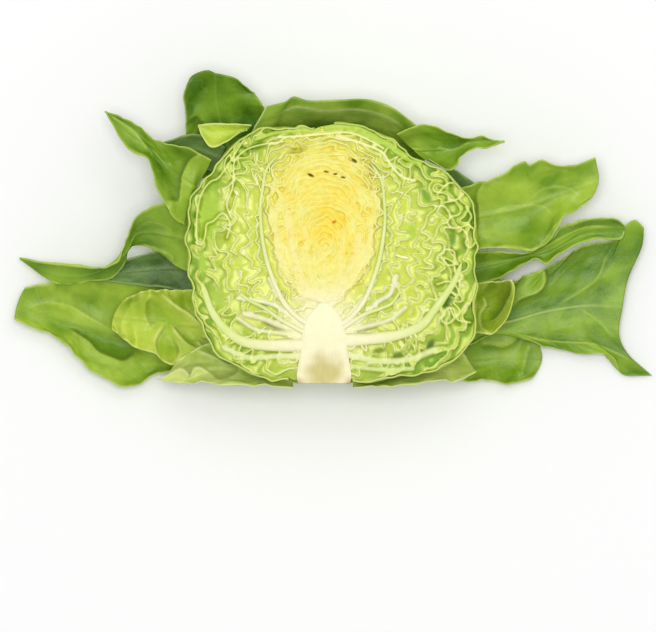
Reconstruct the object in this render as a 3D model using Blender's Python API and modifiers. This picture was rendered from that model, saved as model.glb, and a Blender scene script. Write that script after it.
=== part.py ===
"""Half of a butterhead lettuce, cut lengthwise through its stem and laid on its rounded back.

The cut face looks up (+Z), the stem points to -Y and the top of the head to +Y.
The origin is the middle of the flat spot that the half rests on. Units are metres.
The tables of leaf points are in millimetres, and MM turns them into metres.
"""

import bmesh
import bpy
import numpy as np

MM = 0.001

# The half head
CUT_Z = 58.6 * MM                     # height of the cut face above the table
HEAD_DEPTH = 53 * MM                  # from the cut face down to the lowest of the head's own leaves
CENTRE_X = 1 * MM                     # middle of the cut face
CENTRE_Y = -3 * MM
NODE_GAP = 0.35 * MM                  # clearance between neighbouring pieces
SHEET_THICKNESS = 0.9 * MM            # a cut leaf edge in the head
LEAF_THICKNESS = 0.8 * MM             # an outer leaf
SHELL_STEP = 2.1 * MM                 # from one leaf round the head to the next one out
LEAF_SPACING = 1.5 * MM               # least height between the middles of leaves that lie on each other
TABLE_Z = 0.4 * MM                    # lowest that the middle of a leaf lies
LIFT_SLOPE = 2.0 * MM                 # how much less the next row of points is lifted
SPOT_MM = 1.0                         # grid of the height map that leaves are laid on

HEAD_CORE_Z = CUT_Z - 5 * MM          # top of the core that the head's cut edges stand on
HEART_CORE_Z = CUT_Z - 4 * MM         # the same for the heart
HEART_DEPTH = 24 * MM                 # from the cut face down to the lowest of the heart
EDGE_SINK = 1.5 * MM                  # how far an edge goes down into its core
RIM_WAVE = 0.7 * MM                   # height of the waves in the rims of the two wrapping leaves
WAVE_ROOM = 20 * MM                   # where leaves are packed closer than this their waves flatten

# Outline of the cut head and of its heart, seen from above, anticlockwise, in mm
HEAD_OUTLINE = [
    (66, 0), (65.5, 12), (63, 21), (55, 28.5), (46, 34.5), (40, 37), (35, 40), (29, 45), (20, 49.5),
    (10, 52), (0, 51), (-10, 50), (-20, 50), (-30, 48.5), (-36, 45), (-42, 38.5), (-46, 32.5),
    (-52, 27.5), (-56, 21), (-58, 12), (-58.5, 2), (-57.5, -10), (-56, -22), (-53, -34), (-47, -45),
    (-37, -53), (-25, -57.5), (-12, -59), (0, -59.5), (13, -59), (27, -58), (40, -56), (52, -53),
    (61, -47), (65, -39), (66, -28), (66, -14),
]
HEART_OUTLINE = [
    (24.6, 12), (23.6, 25), (19.5, 35.5), (11.5, 43), (0, 46), (-11, 43), (-19, 35.5), (-23.4, 25),
    (-24.4, 12), (-22.6, 0), (-19, -11), (-12.5, -20), (-5, -25), (5.5, -25), (13, -20), (19.5, -11),
    (23, 0),
]
HEART_MIDDLE = np.array([0.5, 12.0]) * MM

# The stem and the thick ribs that fan out of it: centre line in mm, then start and end width in mm
STEM_PROFILE = [
    (-62, 11.6), (-59, 12.2), (-54, 11.6), (-48, 10.6), (-42, 10.2), (-36, 8.8), (-31, 7.0), (-26.2, 4.6),
]
RIBS = [
    ([(-6, -36), (-12, -32), (-18, -25), (-24, -11), (-27, 2), (-28, 16), (-27, 25), (-25, 34),
      (-19, 41)], 2.6, 1.3),
    ([(6, -37), (13, -32), (19, -24), (24, -11), (26.5, 0), (27.7, 11), (27.3, 20), (26, 29),
      (21, 37)], 2.6, 1.3),
    ([(-8, -45), (-24, -45), (-35, -43.5), (-43, -38.5), (-49, -31), (-52, -24), (-54, -17)], 6.0, 2.6),
    ([(8, -43), (23, -42), (35, -40), (44, -36), (50, -29), (55, -22), (59, -16), (62, -8)], 6.0, 2.4),
    ([(-7, -40), (-19, -33.5), (-26, -28.5), (-33, -25), (-38, -21)], 2.3, 1.4),
    ([(8, -38), (18, -31.5), (26, -28.5), (31, -26), (35, -20)], 2.3, 1.4),
]

# Cut leaf edges of the head: place between heart (0) and outline (1), start and end angle in
# degrees, wave height in mm, number of waves in a full turn, phase in turns
HEAD_EDGES = [
    (0.18, -44, 216, 1.6, 24, 0.10),
    (0.40, -60, 80, 2.6, 21, 0.35), (0.38, 102, 224, 2.2, 21, 0.70),
    (0.60, -74, 66, 3.0, 18, 0.55), (0.60, 84, 228, 2.4, 19, 0.15),
    (0.79, -80, 250, 2.6, 19, 0.80),
    (0.95, -82, 252, 0.8, 15, 0.00),
]
# Cut leaf edges of the heart: size against the heart's outline, then the same five numbers
HEART_EDGES = [
    (0.95, -64, 250, 0.35, 24, 0.00),
    (0.80, -58, 246, 1.0, 27, 0.30),
    (0.63, -55, 240, 1.1, 22, 0.65),
    (0.46, -60, 236, 1.1, 17, 0.10),
    (0.29, -40, 240, 0.9, 11, 0.45),
    (0.12, 0, 300, 0.5, 5, 0.20),
]
# Inner ribs that fan up into the heart from the stem
HEART_RIBS = [
    [(-3, -23), (-9, -14), (-14, -4)], [(-1, -23), (-4.5, -12), (-7, 0)], [(1, -23), (1.5, -10), (1, 2)],
    [(3, -23), (7, -12), (9.5, -1)], [(5, -23), (11, -14), (16, -4)],
]

# Outer leaves, from the lowest to the highest. Each has its left edge, midrib and right edge as
# lines of (x, y, z) in mm from the base to the tip, its tip edge where it is broad, the shell of
# the head that it stays outside of, the height and number of its edge waves, its rows and
# columns, and its colour.
LEAVES = {
    "leaf_top_left": dict(
        left=[(-40, 18, 24), (-56, 32, 25), (-61.5, 46, 30), (-61.5, 56, 34), (-62.3, 68, 37),
              (-60, 74.5, 38)],
        rib=[(-30, 22, 14), (-42, 42, 22), (-47, 58, 27), (-49, 70, 33), (-49, 77, 38)],
        right=[(-16, 28, 12), (-22, 44, 20), (-25, 56, 27), (-27, 63, 32), (-31, 68, 35),
               (-36, 72, 38)],
        tip=[(-60, 74.5, 38), (-57.5, 76.8, 39), (-52, 78.3, 40), (-48, 77, 39), (-40, 75, 39),
             (-36, 72, 38)],
        shell=5, wave=1.1, waves=4, grid=(13, 8), colour=(0.10, 0.20, 0.02)),
    "leaf_low_left": dict(
        left=[(-22, -22, 16), (-52, -13, 15), (-80, -12, 14), (-108, -14, 13), (-124, -17, 13),
              (-134.5, -19, 14)],
        rib=[(-14, -38, 20), (-45, -40, 9), (-78, -42, 4), (-105, -37, 4), (-125, -31, 8),
             (-138, -26, 12)],
        right=[(-9, -52, 30), (-42, -57, 14), (-70, -57, 11), (-78, -59, 10), (-84, -63, 11),
               (-92, -63.7, 12), (-98, -60.5, 12), (-106, -56, 12), (-110, -52, 12),
               (-115, -46, 12), (-123, -40.5, 12), (-131, -37.5, 12), (-139.5, -33.5, 12)],
        shell=5, wave=0.9, waves=5, grid=(15, 8), colour=(0.22, 0.36, 0.06)),
    "leaf_low_right": dict(
        left=[(44, -42, 12), (68, -40, 7), (84, -38, 4.5), (94, -40, 3.5), (97.5, -45, 4)],
        rib=[(44, -50, 10), (65, -53, 4), (82, -52, 2), (99, -52.5, 3)],
        right=[(46, -56, 16), (60, -60, 11), (65, -61.5, 10), (74, -60.5, 9), (84, -62.5, 8),
               (94, -60.5, 6)],
        shell=5, wave=0.9, waves=4, grid=(10, 6), colour=(0.20, 0.33, 0.06)),
    "leaf_big_right": dict(
        left=[(26, -16, 14), (58, -12, 10), (84, -16, 9), (90, -14, 10), (97, -11.5, 10),
              (101, -10, 10), (110, -5, 11), (118, 0, 12), (133, 3, 13), (136.5, 9, 14),
              (141, 11.5, 14), (145, 8, 13)],
        rib=[(16, -36, 18), (50, -40, 9), (82, -35, 8), (100, -30, 8), (118, -27, 8),
             (135.5, -27, 9)],
        right=[(9, -52, 30), (42, -54, 18), (66, -45, 12), (82, -38.5, 9), (95, -43, 8),
               (105, -46, 8), (116, -49, 7), (125, -49, 7), (132, -51, 6), (136, -58.5, 4),
               (149, -59, 3)],
        tip=[(145, 8, 13), (144, -1, 12), (138, -15, 10), (135.5, -28, 9), (134, -40, 8),
             (138, -49, 6), (149, -59, 3)],
        shell=5, wave=0.8, waves=5, grid=(15, 9), colour=(0.17, 0.30, 0.04)),
    "leaf_top": dict(
        left=[(-8, -54, 34), (-24, -44, 20), (-35, -20, 9), (-39, 0, 9), (-38, 24, 16),
              (-34, 43, 32), (-30, 54, 42), (-25.5, 62, 45)],
        rib=[(0, -55, 30), (0, -40, 8), (0, -20, -1.5), (0, 8, -1.5), (0, 30, 3), (2, 50, 22),
             (4, 60, 38), (5, 65, 46)],
        right=[(8, -54, 34), (24, -44, 20), (36, -20, 9), (40, 0, 9), (42, 24, 16), (46, 40, 30),
               (42.5, 53, 42)],
        tip=[(-25.5, 62, 45), (-17, 64, 46), (-13, 66.3, 46), (-6, 64.5, 46), (5, 64.8, 47),
             (20, 65, 46), (30, 62, 45), (38, 56.5, 43), (42.5, 53, 42)],
        shell=3, wave=0.9, waves=4, grid=(17, 10), colour=(0.20, 0.33, 0.08)),
    "leaf_behind_right": dict(
        left=[(48, 30, 20), (58, 34, 24), (65, 30.5, 25), (72, 25, 20)],
        rib=[(50, 18, 12), (60, 19, 15), (67, 18, 16), (75, 16, 14)],
        right=[(52, 4, 12), (60, 4, 13), (68, 5, 13), (74, 8, 12)],
        shell=4, wave=0.8, waves=2, grid=(8, 6), colour=(0.12, 0.20, 0.06)),
    "leaf_behind_left": dict(
        left=[(-44, 44, 34), (-55, 49.5, 38), (-63, 49, 41), (-71.5, 46, 41)],
        rib=[(-46, 39, 30), (-56, 43, 34), (-64, 43, 37), (-73, 42, 38)],
        right=[(-50, 33, 28), (-58, 36, 32), (-66, 37, 35), (-73, 38, 37)],
        shell=2.8, wave=0.6, waves=2, grid=(8, 5), colour=(0.14, 0.24, 0.08)),
    "leaf_folded_right": dict(
        left=[(58, -2, 20), (72, -3, 20), (80, -2.5, 21), (93, -3.5, 22), (103, 3, 24),
              (107, 8, 26), (112, 10, 27), (118, 11.7, 26), (131, 12, 24), (136, 9, 22)],
        rib=[(58, -12, 15), (74, -9, 16), (88, -6, 17), (102, -2, 19), (116, 6, 20), (127, 8, 20),
             (136, 8, 20)],
        right=[(58, -22, 18), (70, -17.5, 20), (78, -15.2, 21), (83, -12.5, 22), (90, -8.5, 22),
               (96, -6, 22), (101, -8.5, 22), (106, -4.5, 22), (116, 0.8, 22), (124, 3, 21),
               (134, 2.5, 20), (136, 6, 20)],
        shell=3, wave=0.5, waves=4, grid=(15, 6), colour=(0.16, 0.29, 0.04)),
    "leaf_right": dict(
        left=[(46, 22, 22), (60, 25, 26), (73, 29, 29), (80, 31.5, 30), (86, 35.5, 31),
              (90.5, 38, 31), (93, 36, 30), (99, 38.3, 30), (106, 35.5, 29), (114, 36.3, 29),
              (122.5, 39.5, 28)],
        rib=[(46, 8, 16), (60, 10, 20), (70, 13, 21), (90, 17, 22), (108, 24, 23), (124, 30, 26)],
        right=[(48, -4, 19), (60, -5, 22), (71, -2, 23), (80, -1.5, 24), (93, -2.5, 24),
               (98, -1, 23), (102, 2, 23), (105, 7, 23), (108, 12.5, 23), (114, 15.5, 23),
               (119, 19.5, 24)],
        tip=[(122.5, 39.5, 28), (124.3, 30, 27), (122.5, 23.5, 25), (119, 19.5, 24)],
        shell=3, wave=0.8, waves=4, grid=(14, 8), colour=(0.17, 0.31, 0.04)),
    "leaf_under_left": dict(
        left=[(-50, 4, 22), (-64, 0, 21), (-76, -3, 20), (-87, -6, 19), (-97, -11, 17)],
        rib=[(-50, -9, 18), (-64, -10, 15), (-80, -11, 14), (-99, -13.5, 15)],
        right=[(-50, -22, 20), (-62, -21, 18), (-72, -19, 18), (-84, -18, 17), (-100, -16, 16)],
        shell=3, wave=0.6, waves=3, grid=(10, 5), colour=(0.13, 0.22, 0.07)),
    "leaf_loop_right": dict(
        left=[(60, -20, 30), (70, -17, 34), (78, -16.5, 38), (84.5, -15.5, 40)],
        rib=[(58, -29, 24), (69, -28, 20), (79, -26, 21), (86, -22, 38)],
        right=[(60, -38, 30), (69, -39.5, 33), (76, -40, 35), (80.5, -36, 37)],
        tip=[(84.5, -15.5, 40), (86, -19, 40), (85, -26, 40), (83, -32, 39), (80.5, -36, 37)],
        shell=2.8, wave=0.5, waves=2, grid=(8, 7), colour=(0.27, 0.40, 0.08)),
    "leaf_crumpled_left": dict(
        left=[(-46, -20, 30), (-58, -20, 30), (-68, -20, 29), (-80, -20.5, 27), (-90, -25, 24)],
        rib=[(-42, -35, 26), (-60, -36, 22), (-78, -34, 19), (-94.5, -32, 19)],
        right=[(-38, -48, 30), (-52, -50.5, 28), (-60, -51.5, 27), (-69, -54, 26), (-76, -49, 24),
               (-85, -46, 22), (-95, -38, 20)],
        shell=2.8, wave=2.0, waves=6, grid=(13, 9), colour=(0.33, 0.45, 0.08)),
    "leaf_foot_left": dict(
        left=[(-14, -52, 36), (-32, -47, 34), (-50, -44, 30), (-66, -52, 20)],
        rib=[(-13, -58, 40), (-34, -56, 38), (-54, -55, 29), (-70, -58, 20)],
        right=[(-13, -62.6, 50), (-30, -62.8, 51), (-42, -63, 49), (-54, -62, 42), (-64, -62.3, 32),
               (-75, -60.5, 24)],
        shell=2.8, wave=0.9, waves=5, grid=(11, 6), colour=(0.40, 0.48, 0.14)),
    "leaf_foot_right": dict(
        left=[(14, -52, 36), (32, -48, 34), (48, -45, 30), (62, -46, 24)],
        rib=[(13, -58, 40), (34, -56, 38), (52, -54, 31), (66, -53, 28)],
        right=[(13, -62.6, 50), (30, -63, 51), (42, -62.6, 50), (52, -61.3, 46), (60, -61.5, 40),
               (69, -57, 34)],
        shell=2.8, wave=0.9, waves=5, grid=(11, 6), colour=(0.42, 0.50, 0.16)),
    "leaf_mid_left": dict(
        left=[(-56, 12, 42), (-64, 17, 46), (-72, 18.5, 47), (-80, 15.5, 45), (-85.5, 10.5, 42),
              (-88.5, 2, 37), (-92, -7.3, 31), (-100, -10, 27), (-112, -8.5, 22), (-125, -7.5, 17),
              (-137, -5.6, 12)],
        rib=[(-54, 0, 34), (-70, 5, 37), (-83, 5, 35), (-90.5, -5, 29), (-104, -13, 23),
             (-120, -13, 18), (-137, -6, 12)],
        right=[(-55, -14, 30), (-65, -10, 30), (-72, -4.5, 30), (-80, -1, 30), (-86.5, -1.5, 29),
               (-90, -9.5, 26), (-96, -15.3, 23), (-106, -16.3, 20), (-118, -17.5, 17),
               (-126, -14.5, 15), (-137, -6.4, 12)],
        shell=2.8, wave=0.5, waves=5, grid=(16, 7), colour=(0.11, 0.22, 0.02)),
    "leaf_upper_left": dict(
        left=[(-50, 38, 48), (-60, 43, 49), (-71.5, 45.5, 47), (-77, 48.5, 44), (-80, 51.5, 42),
              (-86, 55.3, 39), (-98, 60, 34)],
        rib=[(-55, 24, 38), (-68, 33, 38), (-77, 43, 38), (-87, 51, 37), (-98, 60, 34)],
        right=[(-58, 8, 40), (-66, 11, 44), (-71.5, 20, 47), (-75.5, 28, 47), (-78, 38, 44),
               (-85, 41.5, 42), (-90, 46, 39), (-94, 53, 36), (-98, 60, 34)],
        shell=3.3, wave=0.5, waves=4, grid=(13, 8), colour=(0.14, 0.27, 0.03)),
    "leaf_flap": dict(
        left=[(-32, 53.5, 50), (-40, 54, 49), (-48, 54.5, 48), (-56, 53.7, 46)],
        rib=[(-34, 51.5, 46), (-42, 50, 45), (-50, 49.5, 45), (-56, 53.4, 46)],
        right=[(-37, 49.5, 50), (-43, 46, 50), (-50, 43.5, 49), (-54, 48, 47), (-56, 53, 46)],
        shell=2.8, wave=0.4, waves=2, grid=(8, 5), colour=(0.36, 0.47, 0.07)),
    "leaf_upper_right": dict(
        left=[(33, 49.5, 48), (42, 53.5, 48), (50, 53, 47), (60, 49, 45), (65, 47.5, 43),
              (71, 48.5, 42), (77, 47, 40), (81.5, 46.6, 38)],
        rib=[(40, 43, 40), (50, 43, 36), (59, 44, 37), (69, 46, 39), (81.5, 46.3, 38)],
        right=[(47, 37.5, 46), (54, 33, 46), (60, 35, 45), (62, 39.5, 43), (68, 43, 42),
               (73, 43.2, 41), (78, 45, 39), (81.5, 46, 38)],
        shell=2.8, wave=0.5, waves=3, grid=(11, 7), colour=(0.15, 0.28, 0.03)),
}


# Lines and outlines

def smooth_line(points, count, closed=False):
    """Return count points spread evenly along a smooth curve through the given ones."""
    p = np.asarray(points, dtype=float)
    if closed:
        p = np.vstack([p[-1:], p, p[:2]])
    else:
        p = np.vstack([2 * p[:1] - p[1:2], p, 2 * p[-1:] - p[-2:-1]])
    a, b, c, d = (p[i:len(p) - 3 + i, None, :] for i in range(4))
    t = np.linspace(0, 1, 16, endpoint=False)[None, :, None]
    bend = (2 * a - 5 * b + 4 * c - d) * t**2 + (3 * b - a - 3 * c + d) * t**3
    dense = 0.5 * (2 * b + (c - a) * t + bend)
    dense = np.vstack([dense.reshape(-1, p.shape[1]), p[-2:-1]])
    length = np.concatenate([[0], np.cumsum(np.linalg.norm(np.diff(dense, axis=0), axis=1))])
    where = np.linspace(0, length[-1], count + 1)[:-1] if closed else np.linspace(0, length[-1], count)
    return np.column_stack([np.interp(where, length, dense[:, k]) for k in range(p.shape[1])])


def polar_radius(outline_mm, middle):
    """Return a function that gives the distance from the middle to the outline at an angle."""
    line = smooth_line(outline_mm, 240, closed=True) * MM - middle
    angle = np.arctan2(line[:, 1], line[:, 0])
    order = np.argsort(angle)
    radius = np.hypot(line[:, 0], line[:, 1])[order]

    def distance(at):
        """Return the distance at an angle in radians."""
        turn = np.mod(at + np.pi, 2 * np.pi) - np.pi
        return np.interp(turn, angle[order], radius, period=2 * np.pi)

    return distance


def no_radius(angle):
    """Return the distance to an outline that has shrunk to its middle."""
    return np.zeros_like(angle)


HEAD_MIDDLE = np.array([CENTRE_X, CENTRE_Y])
HEART_ROOM = [(x * 1.07, (y - 12) * 1.05 + 12) for x, y in HEART_OUTLINE]
head_radius = polar_radius(HEAD_OUTLINE, HEAD_MIDDLE)
heart_radius = polar_radius(HEART_OUTLINE, HEART_MIDDLE)
room_radius = polar_radius(HEART_ROOM, HEAD_MIDDLE)


def shell_height(x, y, shell):
    """Return the height of a leaf round the head's back; far above the cut where there is none."""
    grow = shell * SHELL_STEP
    dx, dy = x - CENTRE_X, y - CENTRE_Y
    reach = np.hypot(dx, dy) / (head_radius(np.arctan2(dy, dx)) + grow)
    under = CUT_Z - (HEAD_DEPTH + grow) * np.sqrt(np.clip(1 - reach**2, 0, 1))
    return np.where(reach < 1, under, 1.0)


def clear_of_head(points, shell):
    """Move points that lie inside a shell of the head out to it, sideways or down, whichever is less."""
    grow = shell * SHELL_STEP
    x, y, z = points.T
    dx, dy = x - CENTRE_X, y - CENTRE_Y
    reach = np.maximum(np.hypot(dx, dy), 1e-9)
    depth = np.clip((CUT_Z - z) / (HEAD_DEPTH + grow), 0, 1)
    wall = (head_radius(np.arctan2(dy, dx)) + grow) * np.sqrt(1 - depth**2)
    under = shell_height(x, y, shell)
    sideways = (reach < wall) & (z > under) & (wall - reach < z - under)
    scale = np.where(sideways, wall / reach, 1)
    height = np.where(sideways, z, np.minimum(z, under))
    return np.column_stack([CENTRE_X + dx * scale, CENTRE_Y + dy * scale, height])


# Meshes and objects

def new_object(name, vertices, faces):
    """Make an object from points and faces."""
    mesh = bpy.data.meshes.new(name)
    mesh.from_pydata(np.asarray(vertices).tolist(), [], np.asarray(faces).tolist())
    mesh.update()
    made = bpy.data.objects.new(name, mesh)
    model.objects.link(made)
    return made


def apply_modifiers(target):
    """Turn an object's modifiers into its mesh."""
    bpy.context.view_layer.update()
    graph = bpy.context.evaluated_depsgraph_get()
    result = bpy.data.meshes.new_from_object(target.evaluated_get(graph))
    before = target.data
    target.modifiers.clear()
    target.data = result
    bpy.data.meshes.remove(before)


def discard(target):
    """Remove an object and its mesh."""
    mesh = target.data
    bpy.data.objects.remove(target)
    bpy.data.meshes.remove(mesh)


def keep_largest(target):
    """Drop the scraps that a cut has left loose, and tidy what remains."""
    mesh = bmesh.new()
    mesh.from_mesh(target.data)
    bmesh.ops.remove_doubles(mesh, verts=mesh.verts, dist=1e-6)
    groups = []
    left = set(mesh.verts)
    while left:
        start = left.pop()
        group, front = {start}, [start]
        while front:
            for edge in front.pop().link_edges:
                for vertex in edge.verts:
                    if vertex not in group:
                        group.add(vertex)
                        front.append(vertex)
        left -= group
        groups.append(group)
    largest = max(groups, key=len)
    bmesh.ops.delete(mesh, geom=[v for v in mesh.verts if v not in largest], context="VERTS")
    mesh.to_mesh(target.data)
    mesh.free()


def combine(target, members, operation, solver="EXACT"):
    """Join members to the target, or cut them out of it, in one Boolean."""
    group = bpy.data.collections.new(target.name + "_members")
    bpy.context.scene.collection.children.link(group)
    for member in members:
        model.objects.unlink(member)
        group.objects.link(member)
    modifier = target.modifiers.new("combine", "BOOLEAN")
    modifier.operation = operation
    modifier.operand_type = "COLLECTION"
    modifier.collection = group
    modifier.solver = solver
    apply_modifiers(target)
    for member in members:
        discard(member)
    bpy.data.collections.remove(group)
    keep_largest(target)


def finish(target, colour, roughness):
    """Give an object its material and its parent."""
    material = bpy.data.materials.new(target.name)
    material.use_nodes = True
    shader = material.node_tree.nodes["Principled BSDF"]
    shader.inputs["Base Color"].default_value = (*colour, 1)
    shader.inputs["Roughness"].default_value = roughness
    shader.inputs["Metallic"].default_value = 0
    target.data.materials.clear()
    target.data.materials.append(material)
    target.parent = whole


def grid_faces(rows, columns):
    """Return the triangles of a grid, with the diagonals turned about like a woven sheet."""
    i, j = np.meshgrid(np.arange(rows), np.arange(columns), indexing="ij")
    a = (i * (columns + 1) + j).ravel()
    b, c, d = a + 1, a + columns + 2, a + columns + 1
    even = ((i + j) % 2 == 0).ravel()
    first = np.where(even[:, None], np.column_stack([a, d, c]), np.column_stack([a, d, b]))
    second = np.where(even[:, None], np.column_stack([a, c, b]), np.column_stack([b, d, c]))
    return np.vstack([first, second])


# The cut face

def edge_wall(name, line, low, high, width):
    """Make one cut leaf edge: an upright sheet along a line in plan, thickened to its width."""
    n = len(line)
    vertices = np.vstack([np.column_stack([line, np.full(n, z)]) for z in (low, high)])
    i = np.arange(n - 1)
    faces = np.column_stack([i, i + 1, i + n + 1, i + n])
    wall = new_object(name, vertices, faces)
    solid = wall.modifiers.new("thickness", "SOLIDIFY")
    solid.thickness = width
    solid.offset = 0
    apply_modifiers(wall)
    return wall


def rib_wall(name, points, low, high, start, end, grow=0.0):
    """Make a rib that narrows along its line, from its start width to its end width in mm."""
    line = smooth_line(points, max(8, len(points) * 2)) * MM
    n = len(line)
    along = np.gradient(line, axis=0)
    along /= np.linalg.norm(along, axis=1)[:, None]
    side = np.column_stack([-along[:, 1], along[:, 0]])
    half = np.linspace(start, end, n)[:, None] * MM / 2 + grow
    line[-1] += grow * along[-1]
    left, right = line + side * half, line - side * half
    corners = [(right, low), (left, low), (left, high), (right, high)]
    vertices = np.vstack([np.column_stack([p, np.full(n, z)]) for p, z in corners])
    i = np.arange(n - 1)
    faces = []
    for a, b in ((0, 1), (1, 2), (2, 3), (3, 0)):
        faces.append(np.column_stack([a * n + i, b * n + i, b * n + i + 1, a * n + i + 1]))
    ends = np.array([[3 * n, 2 * n, n, 0], [n - 1, 2 * n - 1, 3 * n - 1, 4 * n - 1]])
    rib = new_object(name, vertices, np.vstack(faces + [ends]))
    mesh = bmesh.new()
    mesh.from_mesh(rib.data)
    bmesh.ops.recalc_face_normals(mesh, faces=mesh.faces)
    mesh.to_mesh(rib.data)
    mesh.free()
    return rib


def bowl(name, radius, middle, depth, top, around, down, grow=0.0, lift=0.0):
    """Make a solid half body: a sphere whose sides follow an outline and whose upper half is flat."""
    mesh = bmesh.new()
    bmesh.ops.create_uvsphere(mesh, u_segments=around, v_segments=down, radius=1)
    for vertex in mesh.verts:
        x, y, z = vertex.co
        reach = np.hypot(x, y)
        angle = np.arctan2(y, x)
        wide = reach * (radius(angle) + grow)
        if z >= -1e-6:
            height = top + lift
        else:
            height = min(top + lift, CUT_Z + (depth + grow) * z)
        vertex.co = (middle[0] + wide * np.cos(angle), middle[1] + wide * np.sin(angle), height)
    data = bpy.data.meshes.new(name)
    mesh.to_mesh(data)
    mesh.free()
    made = bpy.data.objects.new(name, data)
    model.objects.link(made)
    return made


def build_stem(grow=0.0):
    """Make the cut stump with its ribs; grow widens it all round for the cut in its neighbours."""
    profile = bpy.data.meshes.new("stem")
    line = smooth_line(STEM_PROFILE, 14) * MM
    ends = np.array([[line[0, 0] - grow, 0], [line[-1, 0] + grow, 0]])
    body = np.vstack([ends[:1], np.column_stack([line[:, 0], line[:, 1] + grow]), ends[1:]])
    body[1, 0] -= grow
    body[-2, 0] += grow
    vertices = [(r, 0, -z) for z, r in body]
    profile.from_pydata(vertices, [(i, i + 1) for i in range(len(vertices) - 1)], [])
    stem = bpy.data.objects.new("stem", profile)
    model.objects.link(stem)
    turn = stem.modifiers.new("turn", "SCREW")
    turn.axis = "Z"
    turn.steps = 20
    turn.render_steps = 20
    turn.use_merge_vertices = True
    turn.merge_threshold = 1e-6
    turn.use_normal_calculate = True
    apply_modifiers(stem)
    # stood along the head's length, and flattened a little in depth
    mesh = bmesh.new()
    mesh.from_mesh(stem.data)
    for vertex in mesh.verts:
        x, y, z = vertex.co
        vertex.co = (x + CENTRE_X - 0.5 * MM, -z, CUT_Z + 0.95 * y)
    bmesh.ops.recalc_face_normals(mesh, faces=mesh.faces)
    mesh.to_mesh(stem.data)
    mesh.free()
    low = HEAD_CORE_Z - 1.2 * MM - grow
    high = CUT_Z - 0.2 * MM + 20 * grow
    ribs = []
    for k, (line, start, end) in enumerate(RIBS):
        ribs.append(rib_wall(f"rib_{k}", line, low, high, start, end, grow))
    combine(stem, ribs, "UNION")
    if grow == 0:
        bpy.ops.mesh.primitive_cube_add(size=1, location=(0, 0, CUT_Z + 50 * MM))
        knife = bpy.context.active_object
        knife.name = "knife"
        for vertex in knife.data.vertices:
            vertex.co = vertex.co * 0.2
        for used in list(knife.users_collection):
            used.objects.unlink(knife)
        knife.location.z = CUT_Z + 0.1
        model.objects.link(knife)
        combine(stem, [knife], "DIFFERENCE")
    return stem


def ring_line(place, start, end, wave, waves, phase, step, inner, outer, middle):
    """Return the line of a wavy cut edge that runs round at a place between two outlines."""
    angle = np.radians(np.linspace(start, end, 1200))
    a = inner(angle)
    b = outer(angle)
    turn = angle / (2 * np.pi) * waves + phase
    ripple = np.sin(2 * np.pi * turn) + 0.35 * np.sin(2 * np.pi * (1.7 * turn + 0.3))
    room = np.minimum(1, (b - a) / WAVE_ROOM)
    radius = a + (b - a) * place + wave * MM * room * ripple
    line = middle + np.column_stack([radius * np.cos(angle), radius * np.sin(angle)])
    length = np.concatenate([[0], np.cumsum(np.linalg.norm(np.diff(line, axis=0), axis=1))])
    count = max(6, int(length[-1] / step) + 1)
    where = np.linspace(0, length[-1], count)
    return np.column_stack([np.interp(where, length, line[:, k]) for k in range(2)])


def build_heart():
    """Make the heart: its core with the cut leaf edges standing out of it."""
    heart = bowl("heart", heart_radius, HEART_MIDDLE, HEART_DEPTH, HEART_CORE_Z, 28, 12)
    low = HEART_CORE_Z - EDGE_SINK
    walls = []
    for k, (place, start, end, wave, waves, phase) in enumerate(HEART_EDGES):
        line = ring_line(place, start, end, wave, waves, phase, 3.2 * MM,
                         no_radius, heart_radius, HEART_MIDDLE)
        walls.append(edge_wall(f"edge_{k}", line, low, CUT_Z - (k % 3) * 0.4 * MM, SHEET_THICKNESS))
    for k, points in enumerate(HEART_RIBS):
        walls.append(rib_wall(f"inner_rib_{k}", points, low, CUT_Z - 0.6 * MM, 1.6, 0.9))
    combine(heart, walls, "UNION")
    return heart


def build_head():
    """Make the loose leaves round the heart: a core with larger cut edges, cleared of heart and stem."""
    head = bowl("head", head_radius, HEAD_MIDDLE, HEAD_DEPTH, HEAD_CORE_Z, 44, 16)
    low = HEAD_CORE_Z - EDGE_SINK
    walls = []
    for k, (place, start, end, wave, waves, phase) in enumerate(HEAD_EDGES):
        line = ring_line(place, start, end, wave, waves, phase, 4.2 * MM,
                         room_radius, head_radius, HEAD_MIDDLE)
        walls.append(edge_wall(f"edge_{k}", line, low, CUT_Z - (k % 3) * 0.5 * MM, SHEET_THICKNESS))
    combine(head, walls, "UNION")
    top = CUT_Z + 3 * MM
    room = bowl("room", heart_radius, HEART_MIDDLE, HEART_DEPTH, top, 28, 12, grow=2 * NODE_GAP)
    stem = build_stem(grow=NODE_GAP)
    stem.name = "stem_room"
    combine(head, [room, stem], "DIFFERENCE")
    return head


def build_wrapper(name, start, end):
    """Make a leaf that cups one side of the head, from its cut rim down to the back."""
    rows, columns = 31, 6
    angle = np.radians(np.linspace(start, end, rows + 1))[:, None]
    down = np.radians(np.linspace(0.6, 74, columns + 1))[None, :]
    ripple = RIM_WAVE * (0.9 + np.sin(14 * angle)) * np.cos(down)**2
    wide = (head_radius(angle) + SHELL_STEP + ripple) * np.cos(down)
    x = CENTRE_X + wide * np.cos(angle)
    y = CENTRE_Y + wide * np.sin(angle)
    z = CUT_Z - (HEAD_DEPTH + SHELL_STEP) * np.sin(down) + 0 * angle
    sheet = new_object(name, np.dstack([x, y, z]).reshape(-1, 3), grid_faces(rows, columns))
    thicken(sheet)
    return sheet


# The outer leaves

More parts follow.
